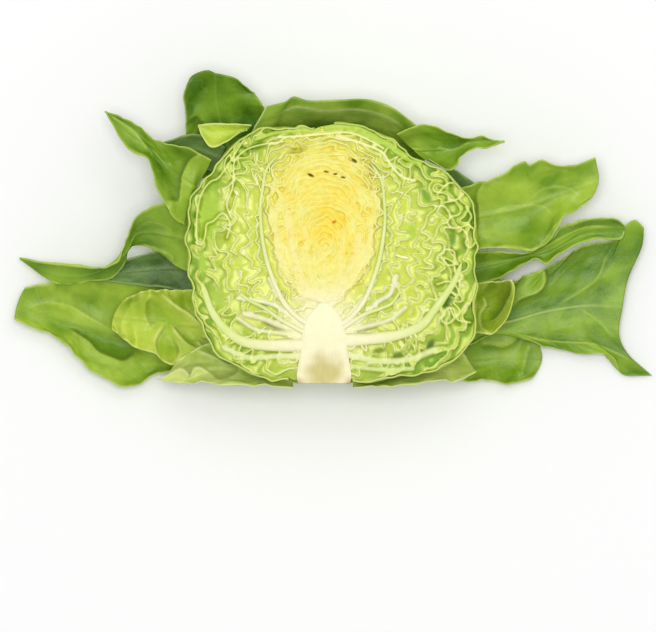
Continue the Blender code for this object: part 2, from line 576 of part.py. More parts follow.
def thicken(sheet):
    """Give a leaf its thickness, alike on both faces."""
    solid = sheet.modifiers.new("thickness", "SOLIDIFY")
    solid.thickness = LEAF_THICKNESS
    solid.offset = 0
    apply_modifiers(sheet)
    mesh = bmesh.new()
    mesh.from_mesh(sheet.data)
    bmesh.ops.triangulate(mesh, faces=mesh.faces)
    bmesh.ops.recalc_face_normals(mesh, faces=mesh.faces)
    mesh.to_mesh(sheet.data)
    mesh.free()


def leaf_points(spec, rows, columns):
    """Return a leaf's surface: an arch through its edges and midrib, with waves at the edges."""
    left, rib, right = (smooth_line(spec[k], rows + 1)[:, None, :] for k in ("left", "rib", "right"))
    v = np.linspace(-1, 1, columns + 1)[None, :, None]
    t = np.linspace(0, 1, rows + 1)[:, None]
    points = rib + v * (right - left) / 2 + v**2 * ((right + left) / 2 - rib)
    if "tip" in spec:
        end = smooth_line(spec["tip"], columns + 1)[None, :, :]
        points = points + (end - points[-1:]) * t[:, :, None]**5
    side = v[:, :, 0]
    wave = np.abs(side)**1.5 * np.sin(2 * np.pi * spec["waves"] * t + 1.9 * side + len(spec["left"]))
    points[:, :, 2] += spec["wave"] * wave * np.minimum(1, 4 * t)
    return points * MM


def spread(points, faces):
    """Return samples spread over each triangle, triangle by triangle."""
    n = 9
    i, j = np.meshgrid(np.arange(n + 1), np.arange(n + 1), indexing="ij")
    inside = (i + j) <= n
    a, b = i[inside] / n, j[inside] / n
    weights = np.column_stack([1 - a - b, a, b])
    return np.einsum("sk,fkc->fsc", weights, points[faces])


class Pile:
    """The height of the leaves laid so far, over each spot of the table."""

    def __init__(self):
        """Start with an empty table."""
        self.low = np.array([-165.0, -85.0])
        self.top = np.full((340, 190), -1.0)

    def cells(self, samples):
        """Return the row and column of the spot that each sample lies over."""
        spot = np.floor((samples[..., :2] / MM - self.low) / SPOT_MM).astype(int)
        return spot[..., 0].clip(0, self.top.shape[0] - 1), spot[..., 1].clip(0, self.top.shape[1] - 1)

    def lay(self, points, faces, shape):
        """Lift a leaf where it would touch those below, and add it to the pile."""
        for _ in range(12):
            samples = spread(points, faces)
            below = self.top[self.cells(samples)]
            lack = np.where(below > 0, below + LEAF_SPACING - samples[..., 2], -1).max(axis=1)
            if lack.max() < 1e-6:
                break
            lift = np.zeros(len(points))
            for corner in range(3):
                np.maximum.at(lift, faces[:, corner], lack)
            lift = np.maximum(lift, 0).reshape(shape)
            for _ in range(6):
                padded = np.pad(lift, 1, mode="edge") - LIFT_SLOPE
                beside = [padded[:-2, 1:-1], padded[2:, 1:-1], padded[1:-1, :-2], padded[1:-1, 2:]]
                lift = np.maximum.reduce([lift, *beside])
            points[:, 2] += lift.ravel()
        samples = spread(points, faces)
        layer = np.full_like(self.top, -1.0)
        np.maximum.at(layer, self.cells(samples), samples[..., 2])
        wide = layer.copy()
        for dx in (-2, -1, 0, 1, 2):
            for dy in (-2, -1, 0, 1, 2):
                if dx * dx + dy * dy <= 5:
                    wide = np.maximum(wide, np.roll(layer, (dx, dy), axis=(0, 1)))
        self.top = np.maximum(self.top, wide)
        return points


def build_leaf(name, spec, pile):
    """Make one outer leaf, outside the head's shells and above the leaves below it."""
    rows, columns = spec["grid"]
    points = leaf_points(spec, rows, columns).reshape(-1, 3)
    faces = grid_faces(rows, columns)
    points = clear_of_head(points, spec["shell"])
    points[:, 2] = np.maximum(points[:, 2], TABLE_Z)
    points = pile.lay(points, faces, (rows + 1, columns + 1))
    leaf = new_object(name, points, faces)
    thicken(leaf)
    return leaf


# The whole half

for old in list(bpy.data.objects):
    bpy.data.objects.remove(old)
model = bpy.data.collections.new("lettuce_half")
bpy.context.scene.collection.children.link(model)
whole = bpy.data.objects.new("lettuce", None)
model.objects.link(whole)

finish(build_stem(), (0.62, 0.60, 0.36), 0.45)
finish(build_heart(), (0.66, 0.58, 0.12), 0.5)
finish(build_head(), (0.50, 0.58, 0.18), 0.5)
finish(build_wrapper("leaf_wrap_left", 95, 254), (0.33, 0.45, 0.08), 0.45)
finish(build_wrapper("leaf_wrap_right", -78, 86), (0.36, 0.47, 0.09), 0.45)
leaf_pile = Pile()
for leaf_name, leaf_spec in LEAVES.items():
    finish(build_leaf(leaf_name, leaf_spec, leaf_pile), leaf_spec["colour"], 0.4)
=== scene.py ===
"""Looks of half a butterhead lettuce: crumpled cut face, cream stem and ribs, and veined outer leaves.

Lengths in the tables are millimetres on the part's own axes: X to the right, Y towards the top of
the head, Z up out of the cut face. Meshes are made in metres.
"""

import logging
from dataclasses import dataclass, field
from enum import Enum
from typing import Sequence

import bpy
import numpy as np
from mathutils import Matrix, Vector
from numpy.typing import NDArray


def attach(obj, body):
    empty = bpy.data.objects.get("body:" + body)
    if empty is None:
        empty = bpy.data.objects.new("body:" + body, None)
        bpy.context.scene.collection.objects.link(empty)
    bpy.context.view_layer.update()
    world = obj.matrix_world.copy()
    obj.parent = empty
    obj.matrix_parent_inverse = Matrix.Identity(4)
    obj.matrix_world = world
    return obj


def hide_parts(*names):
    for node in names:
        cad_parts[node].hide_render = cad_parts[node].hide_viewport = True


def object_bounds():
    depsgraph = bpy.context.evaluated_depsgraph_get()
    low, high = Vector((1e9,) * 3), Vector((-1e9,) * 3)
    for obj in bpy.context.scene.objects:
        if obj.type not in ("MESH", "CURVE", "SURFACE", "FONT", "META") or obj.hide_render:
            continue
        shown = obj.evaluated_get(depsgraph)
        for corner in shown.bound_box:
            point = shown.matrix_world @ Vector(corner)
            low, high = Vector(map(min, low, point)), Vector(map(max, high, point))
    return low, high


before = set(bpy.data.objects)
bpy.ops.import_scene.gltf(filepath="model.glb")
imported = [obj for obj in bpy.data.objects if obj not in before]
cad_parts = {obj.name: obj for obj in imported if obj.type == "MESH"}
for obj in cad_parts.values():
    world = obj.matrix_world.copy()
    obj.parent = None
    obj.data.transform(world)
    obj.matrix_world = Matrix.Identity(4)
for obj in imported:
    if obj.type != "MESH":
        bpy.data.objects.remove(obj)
cad_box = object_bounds()

logging.basicConfig(level=logging.INFO, format="%(message)s")
log = logging.getLogger("lettuce")

Array = NDArray[np.float64]
Line = Sequence[tuple[float, ...]]
Colour = tuple[float, float, float]

# MM turns millimetres into metres. The cut face lies FACE_DROP under the plane of CUT_Z, over bowls
# of HEAD_DEPTH and HEART_DEPTH. Shells round the head's back lie SHELL_STEP apart, and the rim of
# the wrapping leaves waves by RIM_WAVE. Outer leaves keep LEAF_SPACING above one another and are
# lifted no steeper than LIFT_SLOPE per step of their frame. No point comes below TABLE_Z or nearer
# than BOX_ROOM to the sides of the CAD box. One picture unit of a UV map is UV_MM long.
MM = 0.001
CUT_Z = 58.6
HEAD_MIDDLE = (1.0, -3.0)
HEAD_DEPTH = 53.0
HEART_MIDDLE = (0.5, 12.0)
HEART_GROWTH = (0.5, -4.0)
HEART_DEPTH = 24.0
SHELL_STEP = 2.1
RIM_WAVE = 0.7
LEAF_SPACING = 1.5
LIFT_SLOPE = 2.0
TABLE_Z = 0.4
BOX_ROOM = 0.01
FACE_DROP = 0.1
FAR_ABOVE = 1000.0
UV_MM = 100
CREAM: Colour = (244, 240, 196)


def smooth_line(points: Line, count: int, closed: bool = False) -> Array:
    """Spread points evenly along a smooth curve through control points.

    Args:
        points: control points of two or three coordinates.
        count: how many points to return.
        closed: whether the line joins up with its start.

    Returns:
        An array of count rows.
    """
    p = np.asarray(points, dtype=float)
    p = np.vstack([p[-1:], p, p[:2]]) if closed else np.vstack([2 * p[:1] - p[1:2], p, 2 * p[-1:] - p[-2:-1]])
    a, b, c, d = (p[i:len(p) - 3 + i, None, :] for i in range(4))
    t = np.linspace(0, 1, 16, endpoint=False)[None, :, None]
    dense = 0.5 * (2 * b + (c - a) * t + (2 * a - 5 * b + 4 * c - d) * t**2 + (3 * b - a - 3 * c + d) * t**3)
    dense = np.vstack([dense.reshape(-1, p.shape[1]), p[-2:-1]])
    length = np.concatenate([[0], np.cumsum(np.linalg.norm(np.diff(dense, axis=0), axis=1))])
    where = np.linspace(0, length[-1], count + 1)[:-1] if closed else np.linspace(0, length[-1], count)
    return np.column_stack([np.interp(where, length, dense[:, k]) for k in range(p.shape[1])])


def smooth_step(low: float, high: float, value: Array) -> Array:
    """Rise smoothly from 0 at low to 1 at high.

    Args:
        low: where the rise starts.
        high: where it ends.
        value: where to read it.

    Returns:
        Numbers from 0 to 1.
    """
    t = np.clip((value - low) / (high - low), 0, 1)
    return t * t * (3 - 2 * t)


def linear(colour: Sequence[float]) -> Array:
    """Turn a colour of 0 to 255 steps, as the eye reads it, into the light it stands for.

    Args:
        colour: red, green and blue, 0 to 255.

    Returns:
        Red, green and blue, 0 to 1.
    """
    c = np.asarray(colour, dtype=float) / 255
    return np.where(c <= 0.04045, c / 12.92, ((c + 0.055) / 1.055) ** 2.4)


def mix(first: Array, second: Array, share: Array) -> Array:
    """Blend two colours point by point.

    Args:
        first: colour where share is 0.
        second: colour where share is 1.
        share: numbers from 0 to 1.

    Returns:
        An array of colours with one row for each point.
    """
    s = np.clip(share, 0, 1)[..., None]
    return first * (1 - s) + second * s


class Hills:
    """Smooth random hills, made from a square lattice of random slopes."""

    def __init__(self, seed: int) -> None:
        """Draw the slopes.

        Args:
            seed: fixes the draw, so that each run gives the same hills.
        """
        turn = np.random.default_rng(seed).uniform(0, 2 * np.pi, (256, 256))
        self.slopes = np.stack([np.cos(turn), np.sin(turn)], axis=-1)

    def __call__(self, x: Array, y: Array) -> Array:
        """Height of the hills, about -0.7 to 0.7, with one lattice step as the unit of length.

        Args:
            x: first coordinate.
            y: second coordinate.

        Returns:
            The heights, in the shape of x.
        """
        x, y = np.broadcast_arrays(x, y)
        i, j = np.floor(x).astype(int), np.floor(y).astype(int)
        fx, fy = x - i, y - j
        u = fx**3 * (fx * (6 * fx - 15) + 10)
        v = fy**3 * (fy * (6 * fy - 15) + 10)

        def corner(di: int, dj: int) -> Array:
            """Height of the slope at one corner of the lattice square, met at each point.

            Args:
                di: 1 for the corner further along x.
                dj: 1 for the corner further along y.

            Returns:
                The heights.
            """
            slope = self.slopes[(i + di) & 255, (j + dj) & 255]
            return slope[..., 0] * (fx - di) + slope[..., 1] * (fy - dj)

        low = corner(0, 0) * (1 - u) + corner(1, 0) * u
        high = corner(0, 1) * (1 - u) + corner(1, 1) * u
        return low * (1 - v) + high * v

    def rough(self, x: Array, y: Array, layers: int = 3) -> Array:
        """Hills with smaller hills on them, each layer half as wide and half as high.

        Args:
            x: first coordinate.
            y: second coordinate.
            layers: how many sizes of hill.

        Returns:
            The heights, in the shape of x.
        """
        return sum(self(x * 2**k + 17.3 * k, y * 2**k - 9.1 * k) / 2**k for k in range(layers))


class Outline:
    """A closed outline seen from a middle: how far out it lies at each angle."""

    def __init__(self, points: Line, middle: tuple[float, float]) -> None:
        """Read the outline.

        Args:
            points: control points in mm, anticlockwise.
            middle: the point that angles are taken about.
        """
        line = smooth_line(points, 480, closed=True) - np.array(middle)
        angle = np.arctan2(line[:, 1], line[:, 0])
        order = np.argsort(angle)
        self.angle = angle[order]
        self.radius = np.hypot(line[:, 0], line[:, 1])[order]

    def at(self, angle: Array) -> Array:
        """Distance from the middle to the outline.

        Args:
            angle: in radians, any number of turns.

        Returns:
            Distances in mm.
        """
        return np.interp(np.mod(angle + np.pi, 2 * np.pi) - np.pi, self.angle, self.radius, period=2 * np.pi)


def nearest_on_line(x: Array, y: Array, line: Array) -> tuple[Array, Array, Array]:
    """Distance to a line of straight pieces, the side of it, and how far along it is.

    Args:
        x: first coordinate of the points.
        y: second coordinate.
        line: corners of the line.

    Returns:
        Distances; 1 to the left of the line and -1 to its right; and a share from 0 to 1.
    """
    best, side, place = np.full(x.shape, np.inf), np.ones(x.shape), np.zeros(x.shape)
    count = len(line) - 1
    for k, (a, b) in enumerate(zip(line[:-1], line[1:])):
        ab = b - a
        t = np.clip(((x - a[0]) * ab[0] + (y - a[1]) * ab[1]) / max(ab @ ab, 1e-12), 0, 1)
        far = np.hypot(x - a[0] - t * ab[0], y - a[1] - t * ab[1])
        nearer = far < best
        best = np.where(nearer, far, best)
        side = np.where(nearer, np.sign(ab[0] * (y - a[1]) - ab[1] * (x - a[0])), side)
        place = np.where(nearer, (k + t) / count, place)
    return best, side, place


def grid_quads(rows: int, columns: int, wrap: bool = False) -> NDArray[np.int64]:
    """Faces of a grid of rows by columns of points.

    Args:
        rows: rows of points.
        columns: points in a row.
        wrap: whether each row joins up with its start.

    Returns:
        Four point numbers for each face.
    """
    i, j = np.meshgrid(np.arange(rows - 1), np.arange(columns if wrap else columns - 1), indexing="ij")
    k = (j + 1) % columns
    row, following = i * columns, (i + 1) * columns
    return np.stack([row + j, row + k, following + k, following + j], -1).reshape(-1, 4)


class PieceMesh:
    """Points, faces and painted values of one piece, on their way into an object."""

    def __init__(self, points: Array, faces: NDArray[np.int64]) -> None:
        """Start a mesh.

        Args:
            points: places in mm.
            faces: four point numbers for each face.
        """
        self.points = points
        self.faces = faces
        self.colours: dict[str, Array] = {}
        self.uv: Array | None = None

    def add(self, other: "PieceMesh") -> None:
        """Take in the points, faces and values of another mesh.

        Args:
            other: a mesh with the same painted values.
        """
        self.faces = np.vstack([self.faces, other.faces + len(self.points)])
        self.points = np.vstack([self.points, other.points])
        for name in self.colours:
            self.colours[name] = np.vstack([self.colours[name], other.colours[name]])
        if self.uv is not None and other.uv is not None:
            self.uv = np.vstack([self.uv, other.uv])

    def build(self, name: str, material: bpy.types.Material, node: str, slot: str) -> bpy.types.Object:
        """Make the object, and let it stand for its CAD node.

        Args:
            name: the object's name.
            material: its finish.
            node: the CAD node that it stands for.
            slot: the record's material slot; not used.

        Returns:
            The new object.
        """
        mesh = bpy.data.meshes.new(name)
        low, high = np.array(cad_box[0]) / MM, np.array(cad_box[1]) / MM
        points = np.clip(self.points, low + BOX_ROOM, high - BOX_ROOM)
        mesh.vertices.add(len(points))
        mesh.vertices.foreach_set("co", (points * MM).astype(np.float32).ravel())
        mesh.loops.add(self.faces.size)
        mesh.loops.foreach_set("vertex_index", self.faces.astype(np.int32).ravel())
        mesh.polygons.add(len(self.faces))
        mesh.polygons.foreach_set("loop_start", np.arange(0, self.faces.size, 4, dtype=np.int32))
        mesh.update(calc_edges=True)
        for key, value in self.colours.items():
            layer = mesh.color_attributes.new(key, "FLOAT_COLOR", "POINT")
            rgba = np.column_stack([value, np.ones(len(value))]).astype(np.float32)
            layer.data.foreach_set("color", rgba.ravel())
        if self.uv is not None:
            layer = mesh.uv_layers.new(name="UVMap")
            layer.data.foreach_set("uv", self.uv[self.faces.ravel()].astype(np.float32).ravel())
        mesh.shade_smooth()
        mesh.validate()
        piece = bpy.data.objects.new(name, mesh)
        bpy.context.scene.collection.objects.link(piece)
        mesh.materials.append(material)
        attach(piece, "root")
        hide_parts(node)
        log.info("%s: %d faces", name, len(self.faces))
        return piece


class Wiring:
    """A material's nodes, and short ways to add and join them."""

    def __init__(self, name: str) -> None:
        """Start a material.

        Args:
            name: the material's name.
        """
        self.material = bpy.data.materials.new(name)
        self.material.use_nodes = True
        self.tree = self.material.node_tree
        self.shader = self.tree.nodes["Principled BSDF"]
        self.place = self.node("ShaderNodeTexCoord")

    def node(self, kind: str, **values: object) -> bpy.types.Node:
        """Add a node.

        Args:
            kind: Blender's name for its kind.
            values: its settings by name.

        Returns:
            The node.
        """
        made = self.tree.nodes.new(kind)
        for key, value in values.items():
            setattr(made, key, value)
        return made

    def feed(self, value: object, socket: bpy.types.NodeSocket) -> None:
        """Join an output to a socket, or set the socket to a plain value.

        Args:
            value: an output, a number or a colour.
            socket: the socket that takes it.
        """
        if isinstance(value, bpy.types.NodeSocket):
            self.tree.links.new(value, socket)
        else:
            socket.default_value = value

    def maths(
        self, operation: str, first: object, second: object = 0, clamp: bool = False,
    ) -> bpy.types.NodeSocket:
        """Add a sum.

        Args:
            operation: Blender's name for it.
            first: an output or a number.
            second: another.
            clamp: whether the result is held between 0 and 1.

        Returns:
            Its result.
        """
        made = self.node("ShaderNodeMath", operation=operation, use_clamp=clamp)
        self.feed(first, made.inputs[0])
        self.feed(second, made.inputs[1])
        return made.outputs[0]

    def noise(self, hill_mm: float, detail: float) -> bpy.types.NodeSocket:
        """Add soft noise in the object's own space.

        Args:
            hill_mm: size of one hill.
            detail: how many layers of smaller hills lie on it.

        Returns:
            Its result, about 0.5.
        """
        made = self.node("ShaderNodeTexNoise")
        self.feed(self.place.outputs["Object"], made.inputs["Vector"])
        self.feed(1 / (hill_mm * MM), made.inputs["Scale"])
        self.feed(detail, made.inputs["Detail"])
        return made.outputs["Fac"]

    def net(self, cells: float, thick: float) -> bpy.types.NodeSocket:
        """Add a net of lines between uneven cells, on the UV map.

        Args:
            cells: how many there are over one picture unit.
            thick: half thickness of a line, as a share of a cell.

        Returns:
            1 on a line and 0 beside it.
        """
        made = self.node("ShaderNodeTexVoronoi", feature="DISTANCE_TO_EDGE")
        self.feed(self.place.outputs["UV"], made.inputs["Vector"])
        self.feed(cells, made.inputs["Scale"])
        return self.maths("SUBTRACT", 1, self.maths("DIVIDE", made.outputs["Distance"], thick), True)

    def blend(self, first: object, second: object, share: object, kind: str = "MIX") -> bpy.types.NodeSocket:
        """Add a blend of two colours.

        Args:
            first: the colour where share is 0.
            second: the colour where share is 1.
            share: an output or a number.
            kind: Blender's name for the way to blend.

        Returns:
            The blended colour.
        """
        made = self.node("ShaderNodeMix", data_type="RGBA", blend_type=kind)
        for socket, value in ((0, share), (6, first), (7, second)):
            self.feed(value, made.inputs[socket])
        return made.outputs[2]


@dataclass(frozen=True)
class Finish:
    """A moist plant surface: painted colour with fine mottling, relief and veins."""

    name: str
    roughness: float
    mottle_mm: float
    mottle: float
    relief: float
    veins: float = 0.0
    vein_colour: Colour = (205, 215, 130)
    glow: float = 0.0
    shine: float = 0.3
    relief_mm: float = 0.6
    glow_mm: float = 1.5
    vein_step_mm: float = 11.0
    vein_half_mm: float = 0.55
    vein_sway_mm: float = 26.0

    def vein_lines(self, wiring: Wiring) -> bpy.types.NodeSocket:
        """Side veins that bow up from the midrib, and two finer nets between them.

        A side vein lies wherever the way along the leaf, less a bow that grows with the way out
        from the midrib, is a whole number of vein steps. Noise sways the veins and fades them.

        Args:
            wiring: the material's nodes.

        Returns:
            How strong a vein is at each point.
        """
        maths, noise = wiring.maths, wiring.noise
        way = wiring.node("ShaderNodeSeparateXYZ")
        wiring.feed(wiring.place.outputs["UV"], way.inputs[0])
        out = maths("ABSOLUTE", maths("MULTIPLY", way.outputs[0], UV_MM))
        along = maths("MULTIPLY", way.outputs[1], UV_MM)
        sway = maths("MULTIPLY", maths("SUBTRACT", noise(24, 3), 0.5), self.vein_sway_mm)
        bow = maths("MULTIPLY", maths("POWER", out, 0.7), 2.0)
        level = maths("DIVIDE", maths("ADD", maths("SUBTRACT", along, bow), sway), self.vein_step_mm)
        off = maths("ABSOLUTE", maths("SUBTRACT", maths("FRACT", level), 0.5))
        off_mm = maths("MULTIPLY", off, self.vein_step_mm)
        main = maths("SUBTRACT", 1, maths("DIVIDE", off_mm, self.vein_half_mm), True)
        faint = maths("SUBTRACT", maths("MULTIPLY", noise(30, 2), 2.2), 0.7, True)
        line = maths("MULTIPLY", main, faint)
        for cells, thick, strength in ((20, 0.07, 0.3), (55, 0.12, 0.1)):
            line = maths("MAXIMUM", line, maths("MULTIPLY", wiring.net(cells, thick), strength))
        return maths("MULTIPLY", line, self.veins)

    def make(self) -> bpy.types.Material:
        """Build the material.

        Returns:
            A material that reads the painted colour "Tint" and, where it has veins, the UV map.
        """
        wiring = Wiring(self.name)
        maths, shader = wiring.maths, wiring.shader
        tint = wiring.node("ShaderNodeAttribute", attribute_name="Tint")
        coarse = wiring.noise(self.mottle_mm, 4)
        fine = wiring.noise(self.mottle_mm / 6, 3)
        shade = maths("ADD", maths("MULTIPLY", coarse, 2 * self.mottle), 1 - self.mottle)
        shade = maths("ADD", shade, maths("MULTIPLY", maths("SUBTRACT", fine, 0.5), self.mottle))
        grey = wiring.node("ShaderNodeCombineColor")
        for socket in grey.inputs:
            wiring.feed(shade, socket)
        colour = wiring.blend(tint.outputs["Color"], grey.outputs[0], 1.0, "MULTIPLY")
        height = maths("ADD", maths("MULTIPLY", coarse, 0.5), maths("MULTIPLY", fine, 0.35))
        if self.veins > 0:
            line = self.vein_lines(wiring)
            colour = wiring.blend(colour, (*linear(self.vein_colour), 1), line)
            height = maths("ADD", height, maths("MULTIPLY", line, 0.4))
        bump = wiring.node("ShaderNodeBump")
        wiring.feed(self.relief, bump.inputs["Strength"])
        wiring.feed(self.relief_mm * MM, bump.inputs["Distance"])
        wiring.feed(height, bump.inputs["Height"])
        roughness = maths("ADD", maths("MULTIPLY", fine, 0.15), self.roughness - 0.07)
        for name, value in (
            ("Normal", bump.outputs[0]), ("Base Color", colour), ("Roughness", roughness),
            ("Specular IOR Level", self.shine),
        ):
            wiring.feed(value, shader.inputs[name])
        if self.glow > 0:
            wiring.feed(self.glow, shader.inputs["Subsurface Weight"])
            wiring.feed(self.glow_mm * MM, shader.inputs["Subsurface Scale"])
            wiring.feed((1.0, 1.0, 0.4), shader.inputs["Subsurface Radius"])
        return wiring.material


HEAD_OUTLINE: Line = [
    (66, 0), (65.5, 12), (63, 21), (55, 28.5), (46, 34.5), (40, 37), (35, 40), (29, 45), (20, 49.5),
    (10, 52), (0, 51), (-10, 50), (-20, 50), (-30, 48.5), (-36, 45), (-42, 38.5), (-46, 32.5),
    (-52, 27.5), (-56, 21), (-58, 12), (-58.5, 2), (-57.5, -10), (-56, -22), (-53, -34), (-47, -45),
    (-37, -53), (-25, -57.5), (-12, -59), (0, -59.5), (13, -59), (27, -58), (40, -56), (52, -53),
    (61, -47), (65, -39), (66, -28), (66, -14),
]
HEART_OUTLINE: Line = [
    (24.6, 12), (23.6, 25), (19.5, 35.5), (11.5, 43), (0, 46), (-11, 43), (-19, 35.5), (-23.4, 25),
    (-24.4, 12), (-22.6, 0), (-19, -11), (-12.5, -20), (-5, -25), (5.5, -25), (13, -20), (19.5, -11),
    (23, 0),
]


class Head:
    """The half head's outlines, and the shells round its back that its leaves lie in."""

    def __init__(self) -> None:
        """Read the outlines."""
        self.outer = Outline(HEAD_OUTLINE, HEAD_MIDDLE)
        self.heart = Outline(HEART_OUTLINE, HEART_MIDDLE)
        self.growth = Outline(HEART_OUTLINE, HEART_GROWTH)
        self.inner = Outline(HEART_OUTLINE, HEAD_MIDDLE)

    @staticmethod
    def ruffle(angle: Array) -> Array:
        """Waves of the head's rim, shared by its outermost cut leaf and the leaves that wrap it.

        Args:
            angle: in radians.

        Returns:
            Distances in mm that the rim lies further out.
        """
        even = np.sin(21 * angle + 1.6 * np.sin(4 * angle) + 1)
        return 0.75 * even + 0.45 * np.sin(37 * angle + 2 * np.sin(7 * angle))

    def under(self, x: Array, y: Array, shell: float) -> Array:
        """Height of a shell of the head's back.

        Args:
            x: first coordinate.
            y: second coordinate.
            shell: how many leaves out from the head.

        Returns:
            Heights in mm, far above the cut face outside of the shell's outline.
        """
        grow = shell * SHELL_STEP
        dx, dy = x - HEAD_MIDDLE[0], y - HEAD_MIDDLE[1]
        reach = np.hypot(dx, dy) / (self.outer.at(np.arctan2(dy, dx)) + grow)
        deep = CUT_Z - (HEAD_DEPTH + grow) * np.sqrt(np.clip(1 - reach**2, 0, 1))
        return np.where(reach < 1, deep, FAR_ABOVE)

    def clear(self, points: Array, shell: float) -> Array:
        """Move points out of a shell, sideways or down, whichever is less.

        Args:
            points: places in mm.
            shell: how many leaves out from the head.

        Returns:
            The moved points.
        """
        grow = shell * SHELL_STEP
        x, y, z = points.T
        dx, dy = x - HEAD_MIDDLE[0], y - HEAD_MIDDLE[1]
        reach = np.maximum(np.hypot(dx, dy), 1e-6)
        depth = np.clip((CUT_Z - z) / (HEAD_DEPTH + grow), 0, 1)
        wall = (self.outer.at(np.arctan2(dy, dx)) + grow) * np.sqrt(1 - depth**2)
        under = self.under(x, y, shell)
        sideways = (reach < wall) & (z > under) & (wall - reach < z - under)
        scale = np.where(sideways, wall / reach, 1)
        height = np.where(sideways, z, np.minimum(z, under))
        return np.column_stack([HEAD_MIDDLE[0] + dx * scale, HEAD_MIDDLE[1] + dy * scale, height])


class Pile:
    """Heights of the leaves laid so far, on a grid of 1 mm."""

    lifts: int = 12
    spreads: int = 6
    reach: int = 5

    def __init__(self) -> None:
        """Start with an empty table."""
        self.low = np.array([-165.0, -85.0])
        self.top = np.full((340, 190), -1.0)

    def cells(self, samples: Array) -> tuple[NDArray[np.int64], NDArray[np.int64]]:
        """Grid cell of each sample.

        Args:
            samples: places in mm.

        Returns:
            Row and column numbers.
        """
        spot = np.floor(samples[..., :2] - self.low).astype(int)
        return spot[..., 0].clip(0, self.top.shape[0] - 1), spot[..., 1].clip(0, self.top.shape[1] - 1)

    @staticmethod
    def triangles(rows: int, columns: int) -> NDArray[np.int64]:
        """Triangles of a leaf's frame, with the diagonals turned about.

        Args:
            rows: steps along the leaf.
            columns: steps across it.

        Returns:
            Three point numbers for each triangle.
        """
        i, j = np.meshgrid(np.arange(rows), np.arange(columns), indexing="ij")
        a = (i * (columns + 1) + j).ravel()
        b, c, d = a + 1, a + columns + 2, a + columns + 1
        even = ((i + j) % 2 == 0).ravel()[:, None]
        first = np.where(even, np.column_stack([a, d, c]), np.column_stack([a, d, b]))
        second = np.where(even, np.column_stack([a, c, b]), np.column_stack([b, d, c]))
        return np.vstack([first, second])

    @staticmethod
    def spread(points: Array, faces: NDArray[np.int64]) -> Array:
        """Samples spread over each triangle.

        Args:
            points: places in mm.
            faces: three point numbers for each triangle.

        Returns:
            An array of triangles by samples by coordinates.
        """
        n = 9
        i, j = np.meshgrid(np.arange(n + 1), np.arange(n + 1), indexing="ij")
        inside = (i + j) <= n
        a, b = i[inside] / n, j[inside] / n
        return np.einsum("sk,fkc->fsc", np.column_stack([1 - a - b, a, b]), points[faces])

    def lay(self, points: Array, rows: int, columns: int) -> Array:
        """Lift a leaf's frame where it would touch those below, and add it to the pile.

        Args:
            points: the frame's points in mm.
            rows: steps along the leaf.
            columns: steps across it.

        Returns:
            The lifted points.
        """
        faces = self.triangles(rows, columns)
        for _ in range(self.lifts):
            samples = self.spread(points, faces)
            below = self.top[self.cells(samples)]
            lack = np.where(below > 0, below + LEAF_SPACING - samples[..., 2], -1).max(axis=1)
            if lack.max() < 1e-3:
                break
            lift = np.zeros(len(points))
            for corner in range(3):
                np.maximum.at(lift, faces[:, corner], lack)
            lift = np.maximum(lift, 0).reshape(rows + 1, columns + 1)
            for _ in range(self.spreads):
                padded = np.pad(lift, 1, mode="edge") - LIFT_SLOPE
                beside = [padded[:-2, 1:-1], padded[2:, 1:-1], padded[1:-1, :-2], padded[1:-1, 2:]]
                lift = np.maximum.reduce([lift, *beside])
            points[:, 2] += lift.ravel()
        samples = self.spread(points, faces)
        layer = np.full_like(self.top, -1.0)
        np.maximum.at(layer, self.cells(samples), samples[..., 2])
        wide = layer.copy()
        for dx, dy in np.argwhere(np.ones((5, 5))) - 2:
            if dx * dx + dy * dy <= self.reach:
                wide = np.maximum(wide, np.roll(layer, (dx, dy), axis=(0, 1)))
        self.top = np.maximum(self.top, wide)
        return points


def spline_weights(coarse: int, fine: int) -> Array:
    """Weights that spread values at evenly spaced points smoothly over more points.

    Args:
        coarse: how many values there are.
        fine: how many are wanted.

    Returns:
        A matrix of fine rows by coarse columns.
    """
    where = np.linspace(0, coarse - 1, fine)
    i = np.minimum(np.floor(where).astype(int), coarse - 2)
    t = where - i
    basis = [
        (-t + 2 * t**2 - t**3) / 2, (2 - 5 * t**2 + 3 * t**3) / 2,
        (t + 4 * t**2 - 3 * t**3) / 2, (t**3 - t**2) / 2,
    ]
    weights = np.zeros((fine, coarse))
    for k, value in enumerate(basis):
        np.add.at(weights, (np.arange(fine), np.clip(i + k - 1, 0, coarse - 1)), value)
    return weights


def upward_normals(points: Array) -> Array:
    """Normals of a surface, on the side of it that looks up.

    Args:
        points: rows by columns by coordinates.

    Returns:
        Unit vectors in the same shape.
    """
    normal = np.cross(np.gradient(points, axis=1), np.gradient(points, axis=0))
    normal /= np.maximum(np.linalg.norm(normal, axis=2, keepdims=True), 1e-9)
    return normal if normal[..., 2].mean() > 0 else -normal


